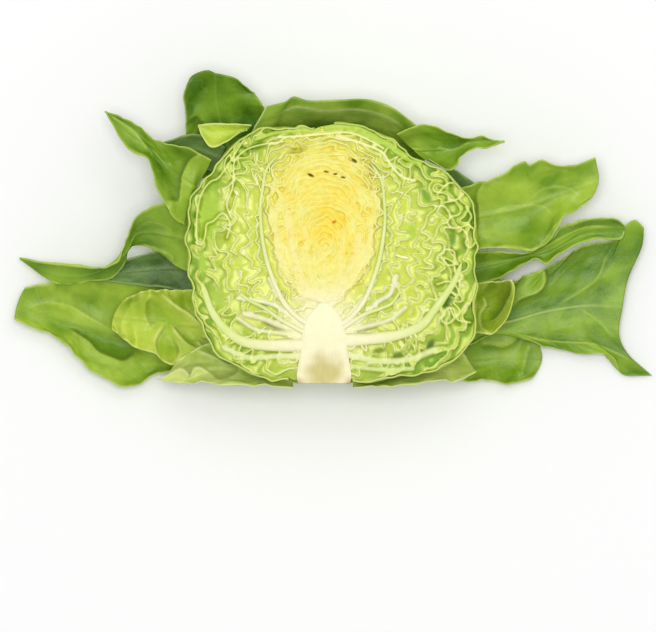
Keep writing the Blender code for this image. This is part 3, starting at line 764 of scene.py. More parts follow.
def sheet(points: Array, half: Array, top: Array, under: Array, uv: Array) -> PieceMesh:
    """A thin closed leaf: its two faces lie half a thickness to each side of a middle surface.

    Args:
        points: middle surface, rows by columns by coordinates, in mm.
        half: half thickness at each point.
        top: colour of the face that looks up, at each point.
        under: colour of the other face.
        uv: picture coordinates at each point.

    Returns:
        The mesh, with its rim closed.
    """
    normal = upward_normals(points)
    turned = np.cross(np.gradient(points, axis=1), np.gradient(points, axis=0))[..., 2].mean() < 0
    if turned:
        parts = (points, half, top, under, uv, normal)
        points, half, top, under, uv, normal = (k[:, ::-1] for k in parts)
    rows, columns = points.shape[:2]
    step = normal * half[..., None]
    quads = grid_quads(rows, columns)
    count = rows * columns
    number = np.arange(count).reshape(rows, columns)
    edge = np.concatenate([number[0, :-1], number[:-1, -1], number[-1, :0:-1], number[:0:-1, 0]])
    follow = np.roll(edge, -1)
    rim = np.column_stack([follow, edge, edge + count, follow + count])
    mesh = PieceMesh(np.vstack([(points + step).reshape(-1, 3), (points - step).reshape(-1, 3)]),
                     np.vstack([quads, quads[:, ::-1] + count, rim]))
    mesh.colours["Tint"] = np.vstack([top.reshape(-1, 3), under.reshape(-1, 3)])
    mesh.uv = np.vstack([uv.reshape(-1, 2)] * 2)
    return mesh


class Tone(Enum):
    """Families of leaf colour: light part, deep part, margin, rib, and the painted shade in a fold."""

    # light and deep parts: a random patchy tone, and also painted light on the leaves' rises and painted
    # shade in their hollows; the last colour is painted shade in fold pockets
    DEEP = ((128, 166, 44), (66, 108, 12), (168, 196, 80), (170, 196, 100), (38, 74, 4))
    BLADE = ((140, 176, 46), (84, 126, 18), (184, 208, 84), (196, 212, 130), (50, 88, 6))
    GREEN = ((166, 196, 60), (112, 152, 26), (196, 214, 100), (204, 216, 134), (66, 104, 8))
    LIME = ((196, 214, 76), (150, 182, 38), (222, 230, 134), (216, 226, 134), (92, 124, 14))
    PALE = ((208, 220, 122), (164, 190, 66), (226, 232, 158), (232, 234, 172), (112, 134, 30))
    GREY = ((116, 148, 78), (66, 96, 38), (158, 180, 116), (164, 184, 126), (36, 60, 18))
    HAZE = ((168, 194, 76), (112, 152, 34), (222, 230, 168), (190, 208, 120), (70, 104, 16))


@dataclass(frozen=True)
class Fold:
    """A fold in a leaf: a crest along a line, falling gently to its right and steeply to its left."""

    line: Line
    lift_mm: float
    gentle_mm: float
    steep_mm: float
    # how pale the crest is (a margin line, with a painted highlight on its gentle side), and how dark the
    # painted shade in the pocket beside it is
    pale: float
    pocket_shade: float

    def read(self, x: Array, y: Array) -> tuple[Array, Array, Array]:
        """Height of the fold, and its painted light and shade.

        Args:
            x: first coordinate in mm.
            y: second coordinate in mm.

        Returns:
            Heights in mm; how pale the crest is, a thin margin line with a painted highlight on its
            gentle side; and how dark the painted shade in the pocket beside it is.
        """
        line = smooth_line(self.line, 8 * len(self.line))
        near, side, place = nearest_on_line(x, y, line)
        ends = smooth_step(0, 0.14, place) * smooth_step(1, 0.86, place)
        steep = np.exp(-near / self.steep_mm)
        height = np.where(side > 0, steep, np.exp(-(near / self.gentle_mm)**2))
        # painted shade in the pocket on the steep side; the crest is a thin pale margin line with a painted
        # highlight on the gentle side
        pocket_shade = np.where(side > 0, np.exp(-np.maximum(0, near - 0.2) / (1.6 * self.steep_mm + 1)), 0)
        crest = np.exp(-(near / 0.45)**2) + 0.25 * np.exp(-near / self.gentle_mm) * (side <= 0)
        return self.lift_mm * height * ends, self.pale * crest * ends, self.pocket_shade * pocket_shade * ends


@dataclass
class Leaf:
    """One outer leaf: an arch through its two edges and midrib, waved, blistered and veined."""

    name: str
    slot: str
    left: Line
    rib: Line
    right: Line
    shell: float
    wave: float
    waves: int
    grid: tuple[int, int]
    tone: Tone
    tip: Line | None = None
    blister: float = 0.35
    crumple: float = 0.0
    frill: float = 0.6
    rib_mm: float = 1.6
    rib_pale: float = 0.3
    step_mm: float = 0.8
    seed: int = 1
    folds: Sequence[Fold] = ()

    def surface(self, rows: int, columns: int) -> Array:
        """Middle surface of the leaf before it is laid on the others.

        Across the leaf a point goes from the left edge over the midrib to the right edge on a
        parabola, and the edges rise and fall in even waves that grow from the midrib outwards.

        Args:
            rows: steps along the leaf.
            columns: steps across it.

        Returns:
            Points in mm, rows + 1 by columns + 1 by 3.
        """
        left, rib, right = (smooth_line(k, rows + 1)[:, None, :] for k in (self.left, self.rib, self.right))
        v = np.linspace(-1, 1, columns + 1)[None, :, None]
        t = np.linspace(0, 1, rows + 1)[:, None]
        points = rib + v * (right - left) / 2 + v**2 * ((right + left) / 2 - rib)
        if self.tip is not None:
            end = smooth_line(self.tip, columns + 1)[None, :, :]
            points = points + (end - points[-1:]) * t[:, :, None]**5
        side = v[:, :, 0]
        wave = np.abs(side)**1.5 * np.sin(2 * np.pi * self.waves * t + 1.9 * side + len(self.left))
        points[:, :, 2] += self.wave * wave * np.minimum(1, 4 * t)
        return points

    def laid(self, head: Head, pile: Pile, rows: int, columns: int) -> Array:
        """Fine middle surface, moved as its coarse frame is moved by the head and the pile.

        Args:
            head: the head that the leaf stays outside of.
            pile: the leaves below.
            rows: fine steps along the leaf.
            columns: fine steps across it.

        Returns:
            Points in mm.
        """
        coarse = self.surface(*self.grid)
        flat = coarse.reshape(-1, 3)
        moved = head.clear(flat, self.shell)
        moved[:, 2] = np.maximum(moved[:, 2], TABLE_Z)
        moved = pile.lay(moved, *self.grid)
        shift = (moved - flat).reshape(coarse.shape)
        along = spline_weights(self.grid[0] + 1, rows + 1)
        across = spline_weights(self.grid[1] + 1, columns + 1)
        return self.surface(rows, columns) + np.einsum("ri,ijc,kj->rkc", along, shift, across)

    def creases(self, x: Array, y: Array) -> tuple[Array, Array, Array]:
        """All folds of the leaf together.

        Args:
            x: first coordinate in mm.
            y: second coordinate in mm.

        Returns:
            Heights in mm, how pale the crests are (margin line and painted highlight), and how dark
            the painted shade in the pockets beside them is.
        """
        total = np.zeros((3, *x.shape))
        for fold in self.folds:
            total += np.stack(fold.read(x, y))
        return total[0], total[1], total[2]

    def make(self, head: Head, pile: Pile, finish: bpy.types.Material) -> bpy.types.Object:
        """Build the leaf.

        Its laid surface is puffed up between the veins, billowed, frilled at its edge, grooved
        along its midrib and lifted by its folds. Its colour goes from deep to light with the
        billows and fold lifts, as painted shade in their hollows and painted light on their rises,
        mixed with a random patchy tone. It is pale on the rib and the edge, pale on the crests
        (a margin line with a painted highlight), and dark in the pockets as painted shade.

        Args:
            head: the head that the leaf stays outside of.
            pile: the leaves below.
            finish: its material.

        Returns:
            The leaf's object.
        """
        rough = self.surface(24, 12)
        length = np.linalg.norm(np.diff(rough[:, 6], axis=0), axis=1).sum()
        width = np.linalg.norm(np.diff(rough, axis=1), axis=2).sum(axis=1).max()
        rows = int(np.clip(length / self.step_mm, 40, 230))
        columns = int(np.clip(width / self.step_mm, 24, 110))
        points = self.laid(head, pile, rows, columns)
        t = np.linspace(0, 1, rows + 1)[:, None]
        v = np.linspace(-1, 1, columns + 1)[None, :]
        local = np.linalg.norm(np.diff(points, axis=1), axis=2).sum(axis=1)[:, None]
        along_mm, across_mm = t * length + 0 * v, v * local / 2
        hills, other = Hills(self.seed), Hills(self.seed + 40)
        normal = upward_normals(points)
        edge = np.abs(v)
        calm = np.minimum(1, (1 - t) * 8) * np.minimum(1, t * 5)
        blisters = np.abs(hills.rough(along_mm / 9, across_mm / 8, 2))
        puff = self.blister * (2.2 * blisters - 0.5) * np.minimum(1, np.abs(across_mm) / 4)
        billow = other.rough(along_mm / 22, across_mm / 16, 2)
        crest, pale, pocket_shade = self.creases(points[..., 0], points[..., 1])
        frill = self.frill * smooth_step(0.55, 1.0, edge) * other(along_mm / 4.5, v * 3 + 0 * t) * 1.6
        on_rib = np.exp(-(across_mm / self.rib_mm)**2)
        groove = 0.35 * on_rib * (1 - 0.7 * t)
        points = points + normal * ((puff + self.crumple * billow + frill) * calm + groove)[..., None]
        points[..., 2] = np.maximum(points[..., 2] + crest, TABLE_Z)
        light, deep, margin, rib, shade = (linear(c) for c in self.tone.value)
        # painted light and shade: lighter on billows and fold lifts, darker in their hollows, with a random
        # patchy tone
        patch = 0.5 + 1.1 * billow + 0.35 * hills.rough(along_mm / 9, across_mm / 7, 2) + 0.12 * crest
        colour = mix(deep, light, patch)
        midrib = np.exp(-(across_mm / (self.rib_mm * (1.4 - t)))**2) * (1 - 0.4 * t)
        colour = mix(colour, rib, self.rib_pale * midrib)
        colour = mix(colour, margin, 0.35 * smooth_step(0.35, 0.0, t + 0 * v))
        # painted shade in the pocket beside each fold
        colour = mix(colour, shade, np.clip(pocket_shade, 0, 0.9))
        # pale leaf rim, and pale fold crests: the margin colour with a painted highlight
        rim = smooth_step(1.1, 0.15, (1 - edge) * local / 2)
        colour = mix(colour, margin, np.clip(pale + rim * 0.7, 0, 0.9))
        under = mix(colour, margin, 0.35 + 0 * patch)
        half = 0.30 + 0.4 * on_rib * (1 - t) - 0.1 * smooth_step(0.9, 1, edge)
        mesh = sheet(points, half, colour, under, np.stack([across_mm, along_mm], axis=-1) / UV_MM)
        return mesh.build(self.name + "_skin", finish, self.name, self.slot)


@dataclass
class Wrapper:
    """A leaf that cups one side of the head, cut at its rim."""

    name: str
    start: float
    end: float
    tone: Tone
    seed: int
    inner: Colour = (150, 180, 50)
    lip: Colour = (222, 232, 140)
    columns: int = 210
    rows: int = 40
    turn_down: tuple[float, float] = (0.6, 74)

    def make(self, head: Head, finish: bpy.types.Material) -> bpy.types.Object:
        """Build the leaf round the head's back.

        The surface follows the head's outline, drawn in with depth like a bowl, one leaf out.

        Args:
            head: the head inside.
            finish: its material.

        Returns:
            The leaf's object.
        """
        angle = np.radians(np.linspace(self.start, self.end, self.columns))[:, None]
        down = np.radians(np.linspace(*self.turn_down, self.rows))[None, :]
        hills = Hills(self.seed)
        turn = angle * 60
        depth = (HEAD_DEPTH + SHELL_STEP) * np.sin(down)
        relief = 0.55 * hills.rough(turn / 11, depth / 9, 3) * np.minimum(1, depth / 3)
        flare = np.exp(-depth / 5) * (head.ruffle(angle) + 0.5 * hills(turn / 3, 9 + 0 * depth))
        wave = RIM_WAVE * (0.9 + np.sin(14 * angle)) * np.cos(down)**2
        ripple = wave * smooth_step(0, 9, depth) + relief * smooth_step(0, 5, depth) + flare
        wide = (head.outer.at(angle) + SHELL_STEP + ripple) * np.cos(down)
        x = HEAD_MIDDLE[0] + wide * np.cos(angle)
        y = HEAD_MIDDLE[1] + wide * np.sin(angle)
        points = np.stack([x, y, CUT_Z - depth + 0 * angle], axis=-1)
        light, deep, margin, rib = (linear(c) for c in self.tone.value[:4])
        colour = mix(deep, light, 0.5 + 1.2 * hills.rough(turn / 24, depth / 20, 3))
        from_stem = np.hypot(x, y + 56)
        colour = mix(colour, rib, smooth_step(40, 4, from_stem) * 0.8)
        spokes = np.abs(np.sin(7 * np.arctan2(y + 60, x) + 0.4 * hills(turn / 20, depth / 20)))
        colour = mix(colour, rib, 0.6 * smooth_step(0.16, 0.0, spokes) * smooth_step(90, 20, from_stem))
        inside = mix(colour, linear(self.inner), 0.5 + 0 * depth)
        rim = smooth_step(1.0, 0.0, depth + 0 * angle)
        colour, inside = (mix(k, linear(self.lip), rim) for k in (colour, inside))
        uv = np.stack([depth + 0 * angle, turn + 0 * depth], axis=-1) / UV_MM
        mesh = sheet(points, 0.36 + 0 * turn + 0 * depth, inside, colour, uv)
        return mesh.build(self.name + "_skin", finish, self.name, "lime_leaf")


# A fold is given as: line, lift, reach of its gentle side and of its steep side in mm, how pale its
# crest is (a margin line with a painted highlight), and how dark the painted shade in the pocket
# beside it is.
LEAVES: Sequence[Leaf] = (
    Leaf(
        name="leaf_top_left", slot="deep_leaf",
        left=[(-40, 18, 24), (-56, 32, 25), (-61.5, 46, 30), (-61.5, 56, 34), (-62.3, 68, 37),
              (-60, 74.5, 38)],
        rib=[(-30, 22, 14), (-42, 42, 22), (-47, 58, 27), (-49, 70, 33), (-49, 77, 38)],
        right=[(-16, 28, 12), (-22, 44, 20), (-25, 56, 27), (-27, 63, 32), (-31, 68, 35), (-36, 72, 38)],
        tip=[(-60, 74.5, 38), (-57.5, 76.8, 39), (-52, 78.3, 40), (-48, 77, 39), (-40, 75, 39),
             (-36, 72, 38)],
        shell=5, wave=1.1, waves=4, grid=(13, 8),
        tone=Tone.DEEP, step_mm=0.75, blister=0.3, crumple=1.1,
        frill=0.7, rib_mm=0.9, rib_pale=0.25, seed=101,
        folds=(
            Fold([(-49.3, 44.2), (-51.7, 51.1), (-54.2, 55.9), (-56.9, 58.4), (-59.5, 56.9),
                  (-62, 54)], 1.6, 5, 1.6, 0.25, 0.6),
        ),
    ),
    Leaf(
        name="leaf_low_left", slot="green_leaf",
        left=[(-22, -22, 16), (-52, -13, 15), (-80, -12, 14), (-108, -14, 13), (-124, -17, 13),
              (-134.5, -19, 14)],
        rib=[(-14, -38, 20), (-45, -40, 9), (-78, -42, 4), (-105, -37, 4), (-125, -31, 8),
             (-138, -26, 12)],
        right=[(-9, -52, 30), (-42, -57, 14), (-70, -57, 11), (-78, -59, 10), (-84, -63, 11),
               (-92, -63.7, 12), (-98, -60.5, 12), (-106, -56, 12), (-110, -52, 12), (-115, -46, 12),
               (-123, -40.5, 12), (-131, -37.5, 12), (-139.5, -33.5, 12)],
        shell=5, wave=0.9, waves=5, grid=(15, 8),
        tone=Tone.GREEN, step_mm=0.75, blister=0.25, crumple=1.6,
        frill=0.8, rib_mm=1.4, rib_pale=0.1, seed=102,
        folds=(
            Fold([(-116.1, -37.2), (-106.3, -43.5), (-102.4, -47.9), (-96.6, -50.6), (-90.7, -52.5),
                  (-86.3, -50.4), (-84.4, -47)], 2.6, 6, 1.3, 0.4, 0.8),
            Fold([(-134.6, -27.9), (-122.9, -25.5), (-113.2, -27.9), (-104.4, -33.3),
                  (-95.1, -38.2)], 1.3, 5, 2.5, 0.25, 0.35),
        ),
    ),
    Leaf(
        name="leaf_low_right", slot="green_leaf",
        left=[(44, -42, 12), (68, -40, 7), (84, -38, 4.5), (94, -40, 3.5), (97.5, -45, 4)],
        rib=[(44, -50, 10), (65, -53, 4), (82, -52, 2), (99, -52.5, 3)],
        right=[(46, -56, 16), (60, -60, 11), (65, -61.5, 10), (74, -60.5, 9), (84, -62.5, 8),
               (94, -60.5, 6)],
        shell=5, wave=0.9, waves=4, grid=(10, 6),
        tone=Tone.GREEN, step_mm=0.75, blister=0.25, crumple=0.9,
        frill=0.8, rib_mm=1.0, rib_pale=0.1, seed=103,
        folds=(
            Fold([(88.7, -39.4), (86.2, -43.4), (81, -45.6), (75.8, -44.5),
                  (70.2, -45.2)], 1.6, 3, 1, 0.5, 0.6),
            Fold([(93.9, -43.7), (92.2, -51), (90, -59.6)], 0.9, 3, 2, 0.1, 0.5),
        ),
    ),
    Leaf(
        name="leaf_big_right", slot="green_leaf",
        left=[(26, -16, 14), (58, -12, 10), (84, -16, 9), (90, -14, 10), (97, -11.5, 10), (101, -10, 10),
              (110, -5, 11), (118, 0, 12), (133, 3, 13), (136.5, 9, 14), (141, 11.5, 14), (145, 8, 13)],
        rib=[(16, -36, 18), (50, -40, 9), (82, -35, 8), (100, -30, 8), (118, -27, 8), (135.5, -27, 9)],
        right=[(9, -52, 30), (42, -54, 18), (66, -45, 12), (82, -38.5, 9), (95, -43, 8), (105, -46, 8),
               (116, -49, 7), (125, -49, 7), (132, -51, 6), (136, -58.5, 4), (149, -59, 3)],
        tip=[(145, 8, 13), (144, -1, 12), (138, -15, 10), (135.5, -28, 9), (134, -40, 8), (138, -49, 6),
             (149, -59, 3)],
        shell=5, wave=0.8, waves=5, grid=(15, 9),
        tone=Tone.BLADE, step_mm=0.75, blister=0.3, crumple=1.2,
        frill=0.9, rib_mm=0.8, rib_pale=0.8, seed=104,
        folds=(
            Fold([(135.2, 2.8), (122.3, 3.3), (112.8, -1), (106, -3.6), (99.9, -9.7), (100.4, -15.7),
                  (97.3, -20.8), (88.7, -24.3), (85.3, -29.5)], 2.4, 4, 1.3, 0.6, 0.8),
            Fold([(87, -39.4), (95.6, -41.9), (107.7, -43.7), (119.7, -44.1), (128.3, -46.7),
                  (136.9, -50.6), (142.1, -54)], 1.4, 3, 1.6, 0.35, 0.4),
            Fold([(106, -27.3), (116.3, -20.8), (124, -14.8), (128.3, -3.6)], 0.3, 0.8, 0.8, 0.35, 0),
            Fold([(116.3, -28.6), (124.9, -34.6), (131.8, -42.4)], 0.3, 0.8, 0.8, 0.3, 0),
        ),
    ),
    Leaf(
        name="leaf_top", slot="green_leaf",
        left=[(-8, -54, 34), (-24, -44, 20), (-35, -20, 9), (-39, 0, 9), (-38, 24, 16), (-34, 43, 32),
              (-30, 54, 42), (-25.5, 62, 45)],
        rib=[(0, -55, 30), (0, -40, 8), (0, -20, -1.5), (0, 8, -1.5), (0, 30, 3), (2, 50, 22),
             (4, 60, 38), (5, 65, 46)],
        right=[(8, -54, 34), (24, -44, 20), (36, -20, 9), (40, 0, 9), (42, 24, 16), (46, 40, 30),
               (42.5, 53, 42)],
        tip=[(-25.5, 62, 45), (-17, 64, 46), (-13, 66.3, 46), (-6, 64.5, 46), (5, 64.8, 47), (20, 65, 46),
             (30, 62, 45), (38, 56.5, 43), (42.5, 53, 42)],
        shell=3, wave=0.9, waves=4, grid=(17, 10),
        tone=Tone.HAZE, step_mm=1.3, blister=0.3, crumple=0.7,
        frill=0.9, rib_mm=1.6, rib_pale=0.2, seed=105,
        folds=(
            Fold([(-22, 58), (-12, 62), (0, 60.5), (14, 61), (28, 58), (38, 52)], 0.8, 2.5, 2.5, 0.5, 0),
        ),
    ),
    Leaf(
        name="leaf_behind_right", slot="grey_leaf",
        left=[(48, 30, 20), (58, 34, 24), (65, 30.5, 25), (72, 25, 20)],
        rib=[(50, 18, 12), (60, 19, 15), (67, 18, 16), (75, 16, 14)],
        right=[(52, 4, 12), (60, 4, 13), (68, 5, 13), (74, 8, 12)],
        shell=4, wave=0.8, waves=2, grid=(8, 6),
        tone=Tone.GREY, step_mm=0.9, blister=0.2, crumple=0.4,
        frill=0.4, rib_mm=0.8, rib_pale=0.2, seed=106,
    ),
    Leaf(
        name="leaf_behind_left", slot="grey_leaf",
        left=[(-44, 44, 34), (-55, 49.5, 38), (-63, 49, 41), (-71.5, 46, 41)],
        rib=[(-46, 39, 30), (-56, 43, 34), (-64, 43, 37), (-73, 42, 38)],
        right=[(-50, 33, 28), (-58, 36, 32), (-66, 37, 35), (-73, 38, 37)],
        shell=2.8, wave=0.6, waves=2, grid=(8, 5),
        tone=Tone.GREY, step_mm=0.9, blister=0.2, crumple=0.4,
        frill=0.4, rib_mm=0.8, rib_pale=0.2, seed=107,
    ),
    Leaf(
        name="leaf_folded_right", slot="deep_leaf",
        left=[(58, -2, 20), (72, -3, 20), (80, -2.5, 21), (93, -3.5, 22), (103, 3, 24), (107, 8, 26),
              (112, 10, 27), (118, 11.7, 26), (131, 12, 24), (136, 9, 22)],
        rib=[(58, -12, 15), (74, -9, 16), (88, -6, 17), (102, -2, 19), (116, 6, 20), (127, 8, 20),
             (136, 8, 20)],
        right=[(58, -22, 18), (70, -17.5, 20), (78, -15.2, 21), (83, -12.5, 22), (90, -8.5, 22),
               (96, -6, 22), (101, -8.5, 22), (106, -4.5, 22), (116, 0.8, 22), (124, 3, 21),
               (134, 2.5, 20), (136, 6, 20)],
        shell=3, wave=0.5, waves=4, grid=(15, 6),
        tone=Tone.BLADE, step_mm=0.65, blister=0.2, crumple=0.7,
        frill=0.5, rib_mm=0.9, rib_pale=0.1, seed=108,
        folds=(
            Fold([(71.5, -7.9), (75.8, -3.6), (85.3, -2.8), (93.9, -3.6), (102.5, 0.7), (111.1, 5.8),
                  (119.7, 8.4), (128.3, 8.4), (133.5, 8)], 1.2, 2.5, 1.2, 0.5, 0.5),
        ),
    ),
    Leaf(
        name="leaf_right", slot="deep_leaf",
        left=[(46, 22, 22), (60, 25, 26), (73, 29, 29), (80, 31.5, 30), (86, 35.5, 31), (90.5, 38, 31),
              (93, 36, 30), (99, 38.3, 30), (106, 35.5, 29), (114, 36.3, 29), (122.5, 39.5, 28)],
        rib=[(46, 8, 16), (60, 10, 20), (70, 13, 21), (90, 17, 22), (108, 24, 23), (124, 30, 26)],
        right=[(48, -4, 19), (60, -5, 22), (71, -2, 23), (80, -1.5, 24), (93, -2.5, 24), (98, -1, 23),
               (102, 2, 23), (105, 7, 23), (108, 12.5, 23), (114, 15.5, 23), (119, 19.5, 24)],
        tip=[(122.5, 39.5, 28), (124.3, 30, 27), (122.5, 23.5, 25), (119, 19.5, 24)],
        shell=3, wave=0.8, waves=4, grid=(14, 8),
        tone=Tone.GREEN, step_mm=0.7, blister=0.25, crumple=1.1,
        frill=0.8, rib_mm=0.9, rib_pale=0.15, seed=109,
        folds=(
            Fold([(69.4, 1.5), (70.5, 10.1), (70.5, 17), (69.6, 22.2), (71.7, 26.9), (75.8, 30.8),
                  (83.6, 33.4)], 1.3, 4, 1.5, 0.5, 0.5),
            Fold([(72.4, -6.2), (79.3, -1), (87, -0.6), (93.9, -1.9), (99.1, 1.5), (104.2, 8.4),
                  (109.4, 13.6)], 1.3, 3, 1.5, 0.35, 0.35),
            Fold([(74.1, 10.1), (79.3, 16.2), (87.9, 17.9), (99.1, 17.5),
                  (105.1, 11.9)], 0.4, 4, 4, 0.3, 0.1),
            Fold([(92.2, 20.5), (99.1, 25.2), (109.4, 26.1), (117.1, 21.3)], 0.4, 4, 4, 0.3, 0.1),
        ),
    ),
    Leaf(
        name="leaf_under_left", slot="grey_leaf",
        left=[(-50, 4, 22), (-64, 0, 21), (-76, -3, 20), (-87, -6, 19), (-97, -11, 17)],
        rib=[(-50, -9, 18), (-64, -10, 15), (-80, -11, 14), (-99, -13.5, 15)],
        right=[(-50, -22, 20), (-62, -21, 18), (-72, -19, 18), (-84, -18, 17), (-100, -16, 16)],
        shell=3, wave=0.6, waves=3, grid=(10, 5),
        tone=Tone.GREY, step_mm=0.9, blister=0.2, crumple=0.6,
        frill=0.4, rib_mm=0.9, rib_pale=0.2, seed=110,
    ),
    Leaf(
        name="leaf_loop_right", slot="lime_leaf",
        left=[(60, -20, 30), (70, -17, 34), (78, -16.5, 38), (84.5, -15.5, 40)],
        rib=[(58, -29, 24), (69, -28, 20), (79, -26, 21), (86, -22, 38)],
        right=[(60, -38, 30), (69, -39.5, 33), (76, -40, 35), (80.5, -36, 37)],
        tip=[(84.5, -15.5, 40), (86, -19, 40), (85, -26, 40), (83, -32, 39), (80.5, -36, 37)],
        shell=2.8, wave=0.5, waves=2, grid=(8, 7),
        tone=Tone.LIME, step_mm=0.45, blister=0.15, crumple=0.6,
        frill=0.4, rib_mm=0.9, rib_pale=0.1, seed=111,
        folds=(
            Fold([(74.5, -35.1), (78.4, -32.9), (82.3, -27.7), (84.9, -21.3), (84.6, -16.5),
                  (80.6, -14), (76.7, -15.3)], 2, 2, 2, 0.6, 0.9),
            Fold([(70.5, -8.8), (73.4, -7.9), (75, -12.2), (74.1, -16.5),
                  (71.5, -20.8)], 1.4, 1.8, 0.9, 0.6, 0.5),
            Fold([(71.9, -22.6), (73.4, -26.9), (70.8, -31.2), (71.5, -37.2),
                  (75.8, -39.8)], 1.4, 1.8, 0.9, 0.6, 0.5),
        ),
    ),
    Leaf(
        name="leaf_crumpled_left", slot="lime_leaf",
        left=[(-46, -20, 30), (-58, -20, 30), (-68, -20, 29), (-80, -20.5, 27), (-90, -25, 24)],
        rib=[(-42, -35, 26), (-60, -36, 22), (-78, -34, 19), (-94.5, -32, 19)],
        right=[(-38, -48, 30), (-52, -50.5, 28), (-60, -51.5, 27), (-69, -54, 26), (-76, -49, 24),
               (-85, -46, 22), (-95, -38, 20)],
        shell=2.8, wave=2.0, waves=6, grid=(13, 9),
        tone=Tone.LIME, step_mm=0.5, blister=0.2, crumple=1.3,
        frill=0.8, rib_mm=0.9, rib_pale=0.0, seed=112,
        folds=(
            Fold([(-77.1, -22.1), (-80.2, -27), (-79.8, -32.8), (-77.1, -37.7)], 0.9, 4, 2, 0.1, 0.5),
            Fold([(-73.7, -20.6), (-67.3, -27), (-60.5, -30.9), (-54.6, -36.2), (-49.3, -41.1),
                  (-46.8, -45.5)], 2.2, 3, 1, 0.7, 0.5),
            Fold([(-69.8, -34.3), (-73.7, -38.7), (-75.9, -44.5), (-73.7, -51.8), (-68.8, -54.1),
                  (-64.4, -48.4), (-67.3, -40.6)], 2.2, 2.5, 1, 0.6, 0.4),
            Fold([(-69.3, -35.2), (-63.4, -42.6), (-57.6, -46.5), (-51.7, -48.4), (-47.3, -47.9),
                  (-46.8, -44.5)], 2, 3, 1, 0.6, 0.8),
            Fold([(-57.6, -42.1), (-53.7, -46.5), (-49.3, -46), (-50.3, -42.1),
                  (-55.6, -41.1)], 1.2, 1.5, 0.7, 0.5, 0.6),
            Fold([(-85.9, -44.5), (-90.7, -37.7), (-87.8, -28.9), (-79, -22.6)], 0.9, 4, 3, 0.1, 0.2),
        ),
    ),
    Leaf(
        name="leaf_foot_left", slot="pale_leaf",
        left=[(-14, -52, 36), (-32, -47, 34), (-50, -44, 30), (-66, -52, 20)],
        rib=[(-13, -58, 40), (-34, -56, 38), (-54, -55, 29), (-70, -58, 20)],
        right=[(-13, -62.6, 50), (-30, -62.8, 51), (-42, -63, 49), (-54, -62, 42), (-64, -62.3, 32),
               (-75, -60.5, 24)],
        shell=2.8, wave=0.9, waves=5, grid=(11, 6),
        tone=Tone.PALE, step_mm=0.6, blister=0.2, crumple=1.0,
        frill=0.9, rib_mm=1.2, rib_pale=0.2, seed=113,
        folds=(
            Fold([(-75.6, -60.1), (-70.3, -58.7), (-64.4, -55.7), (-61.3, -57.2),
                  (-59.5, -60.6)], 1.3, 2.5, 1, 0.5, 0.6),
            Fold([(-60.5, -61.6), (-57.1, -55.2), (-51.7, -57.2), (-46.8, -61.1), (-40, -59.1),
                  (-35.1, -53.3)], 1.3, 2.5, 1, 0.5, 0.6),
            Fold([(-58, -47), (-50, -50), (-42, -54), (-36, -52), (-30, -57),
                  (-22, -58)], 1.5, 2.5, 1, 0.6, 0.6),
        ),
    ),
    Leaf(
        name="leaf_foot_right", slot="pale_leaf",
        left=[(14, -52, 36), (32, -48, 34), (48, -45, 30), (62, -46, 24)],
        rib=[(13, -58, 40), (34, -56, 38), (52, -54, 31), (66, -53, 28)],
        right=[(13, -62.6, 50), (30, -63, 51), (42, -62.6, 50), (52, -61.3, 46), (60, -61.5, 40),
               (69, -57, 34)],
        shell=2.8, wave=0.9, waves=5, grid=(11, 6),
        tone=Tone.PALE, step_mm=0.6, blister=0.2, crumple=1.0,
        frill=0.9, rib_mm=1.2, rib_pale=0.2, seed=114,
        folds=(
            Fold([(53.9, -45.8), (56.4, -42.4), (61.2, -42.4), (62, -46.7), (64.6, -50.6),
                  (67.6, -46.7), (69.4, -38.9)], 1.2, 1.8, 0.9, 0.5, 0.5),
            Fold([(22, -58), (32, -55), (40, -57), (47, -53), (55, -55)], 1.4, 2.5, 1, 0.6, 0.5),
        ),
    ),
    Leaf(
        name="leaf_mid_left", slot="deep_leaf",
        left=[(-56, 12, 42), (-64, 17, 46), (-72, 18.5, 47), (-80, 15.5, 45), (-85.5, 10.5, 42),
              (-88.5, 2, 37), (-92, -7.3, 31), (-100, -10, 27), (-112, -8.5, 22), (-125, -7.5, 17),
              (-137, -5.6, 12)],
        rib=[(-54, 0, 34), (-70, 5, 37), (-83, 5, 35), (-90.5, -5, 29), (-104, -13, 23), (-120, -13, 18),
             (-137, -6, 12)],
        right=[(-55, -14, 30), (-65, -10, 30), (-72, -4.5, 30), (-80, -1, 30), (-86.5, -1.5, 29),
               (-90, -9.5, 26), (-96, -15.3, 23), (-106, -16.3, 20), (-118, -17.5, 17),
        (-126, -14.5, 15),
               (-137, -6.4, 12)],
        shell=2.8, wave=0.5, waves=5, grid=(16, 7),
        tone=Tone.BLADE, step_mm=0.65, blister=0.25, crumple=1.1,
        frill=0.6, rib_mm=0.9, rib_pale=0.1, seed=115,
        folds=(
            Fold([(-86.8, 0.3), (-84.4, 6.2), (-78.1, 10.6), (-71.2, 9.1),
                  (-65.4, 4.3)], 1, 3, 3, 0.15, 0.25),
            Fold([(-88.3, -2.6), (-92.7, -7.9), (-101.5, -10.2), (-114.1, -9.2), (-125.8, -7.9),
                  (-134.6, -6.7)], 0.7, 2, 1.5, 0.4, 0.4),
            Fold([(-82, 0.3), (-75.1, -1.8), (-68.3, -4.5), (-67.3, -8.4)], 1.2, 2, 1.5, 0.4, 0.3),
        ),
    ),
    Leaf(
        name="leaf_upper_left", slot="deep_leaf",
        left=[(-50, 38, 48), (-60, 43, 49), (-71.5, 45.5, 47), (-77, 48.5, 44), (-80, 51.5, 42),
              (-86, 55.3, 39), (-98, 60, 34)],
        rib=[(-55, 24, 38), (-68, 33, 38), (-77, 43, 38), (-87, 51, 37), (-98, 60, 34)],
        right=[(-58, 8, 40), (-66, 11, 44), (-71.5, 20, 47), (-75.5, 28, 47), (-78, 38, 44),
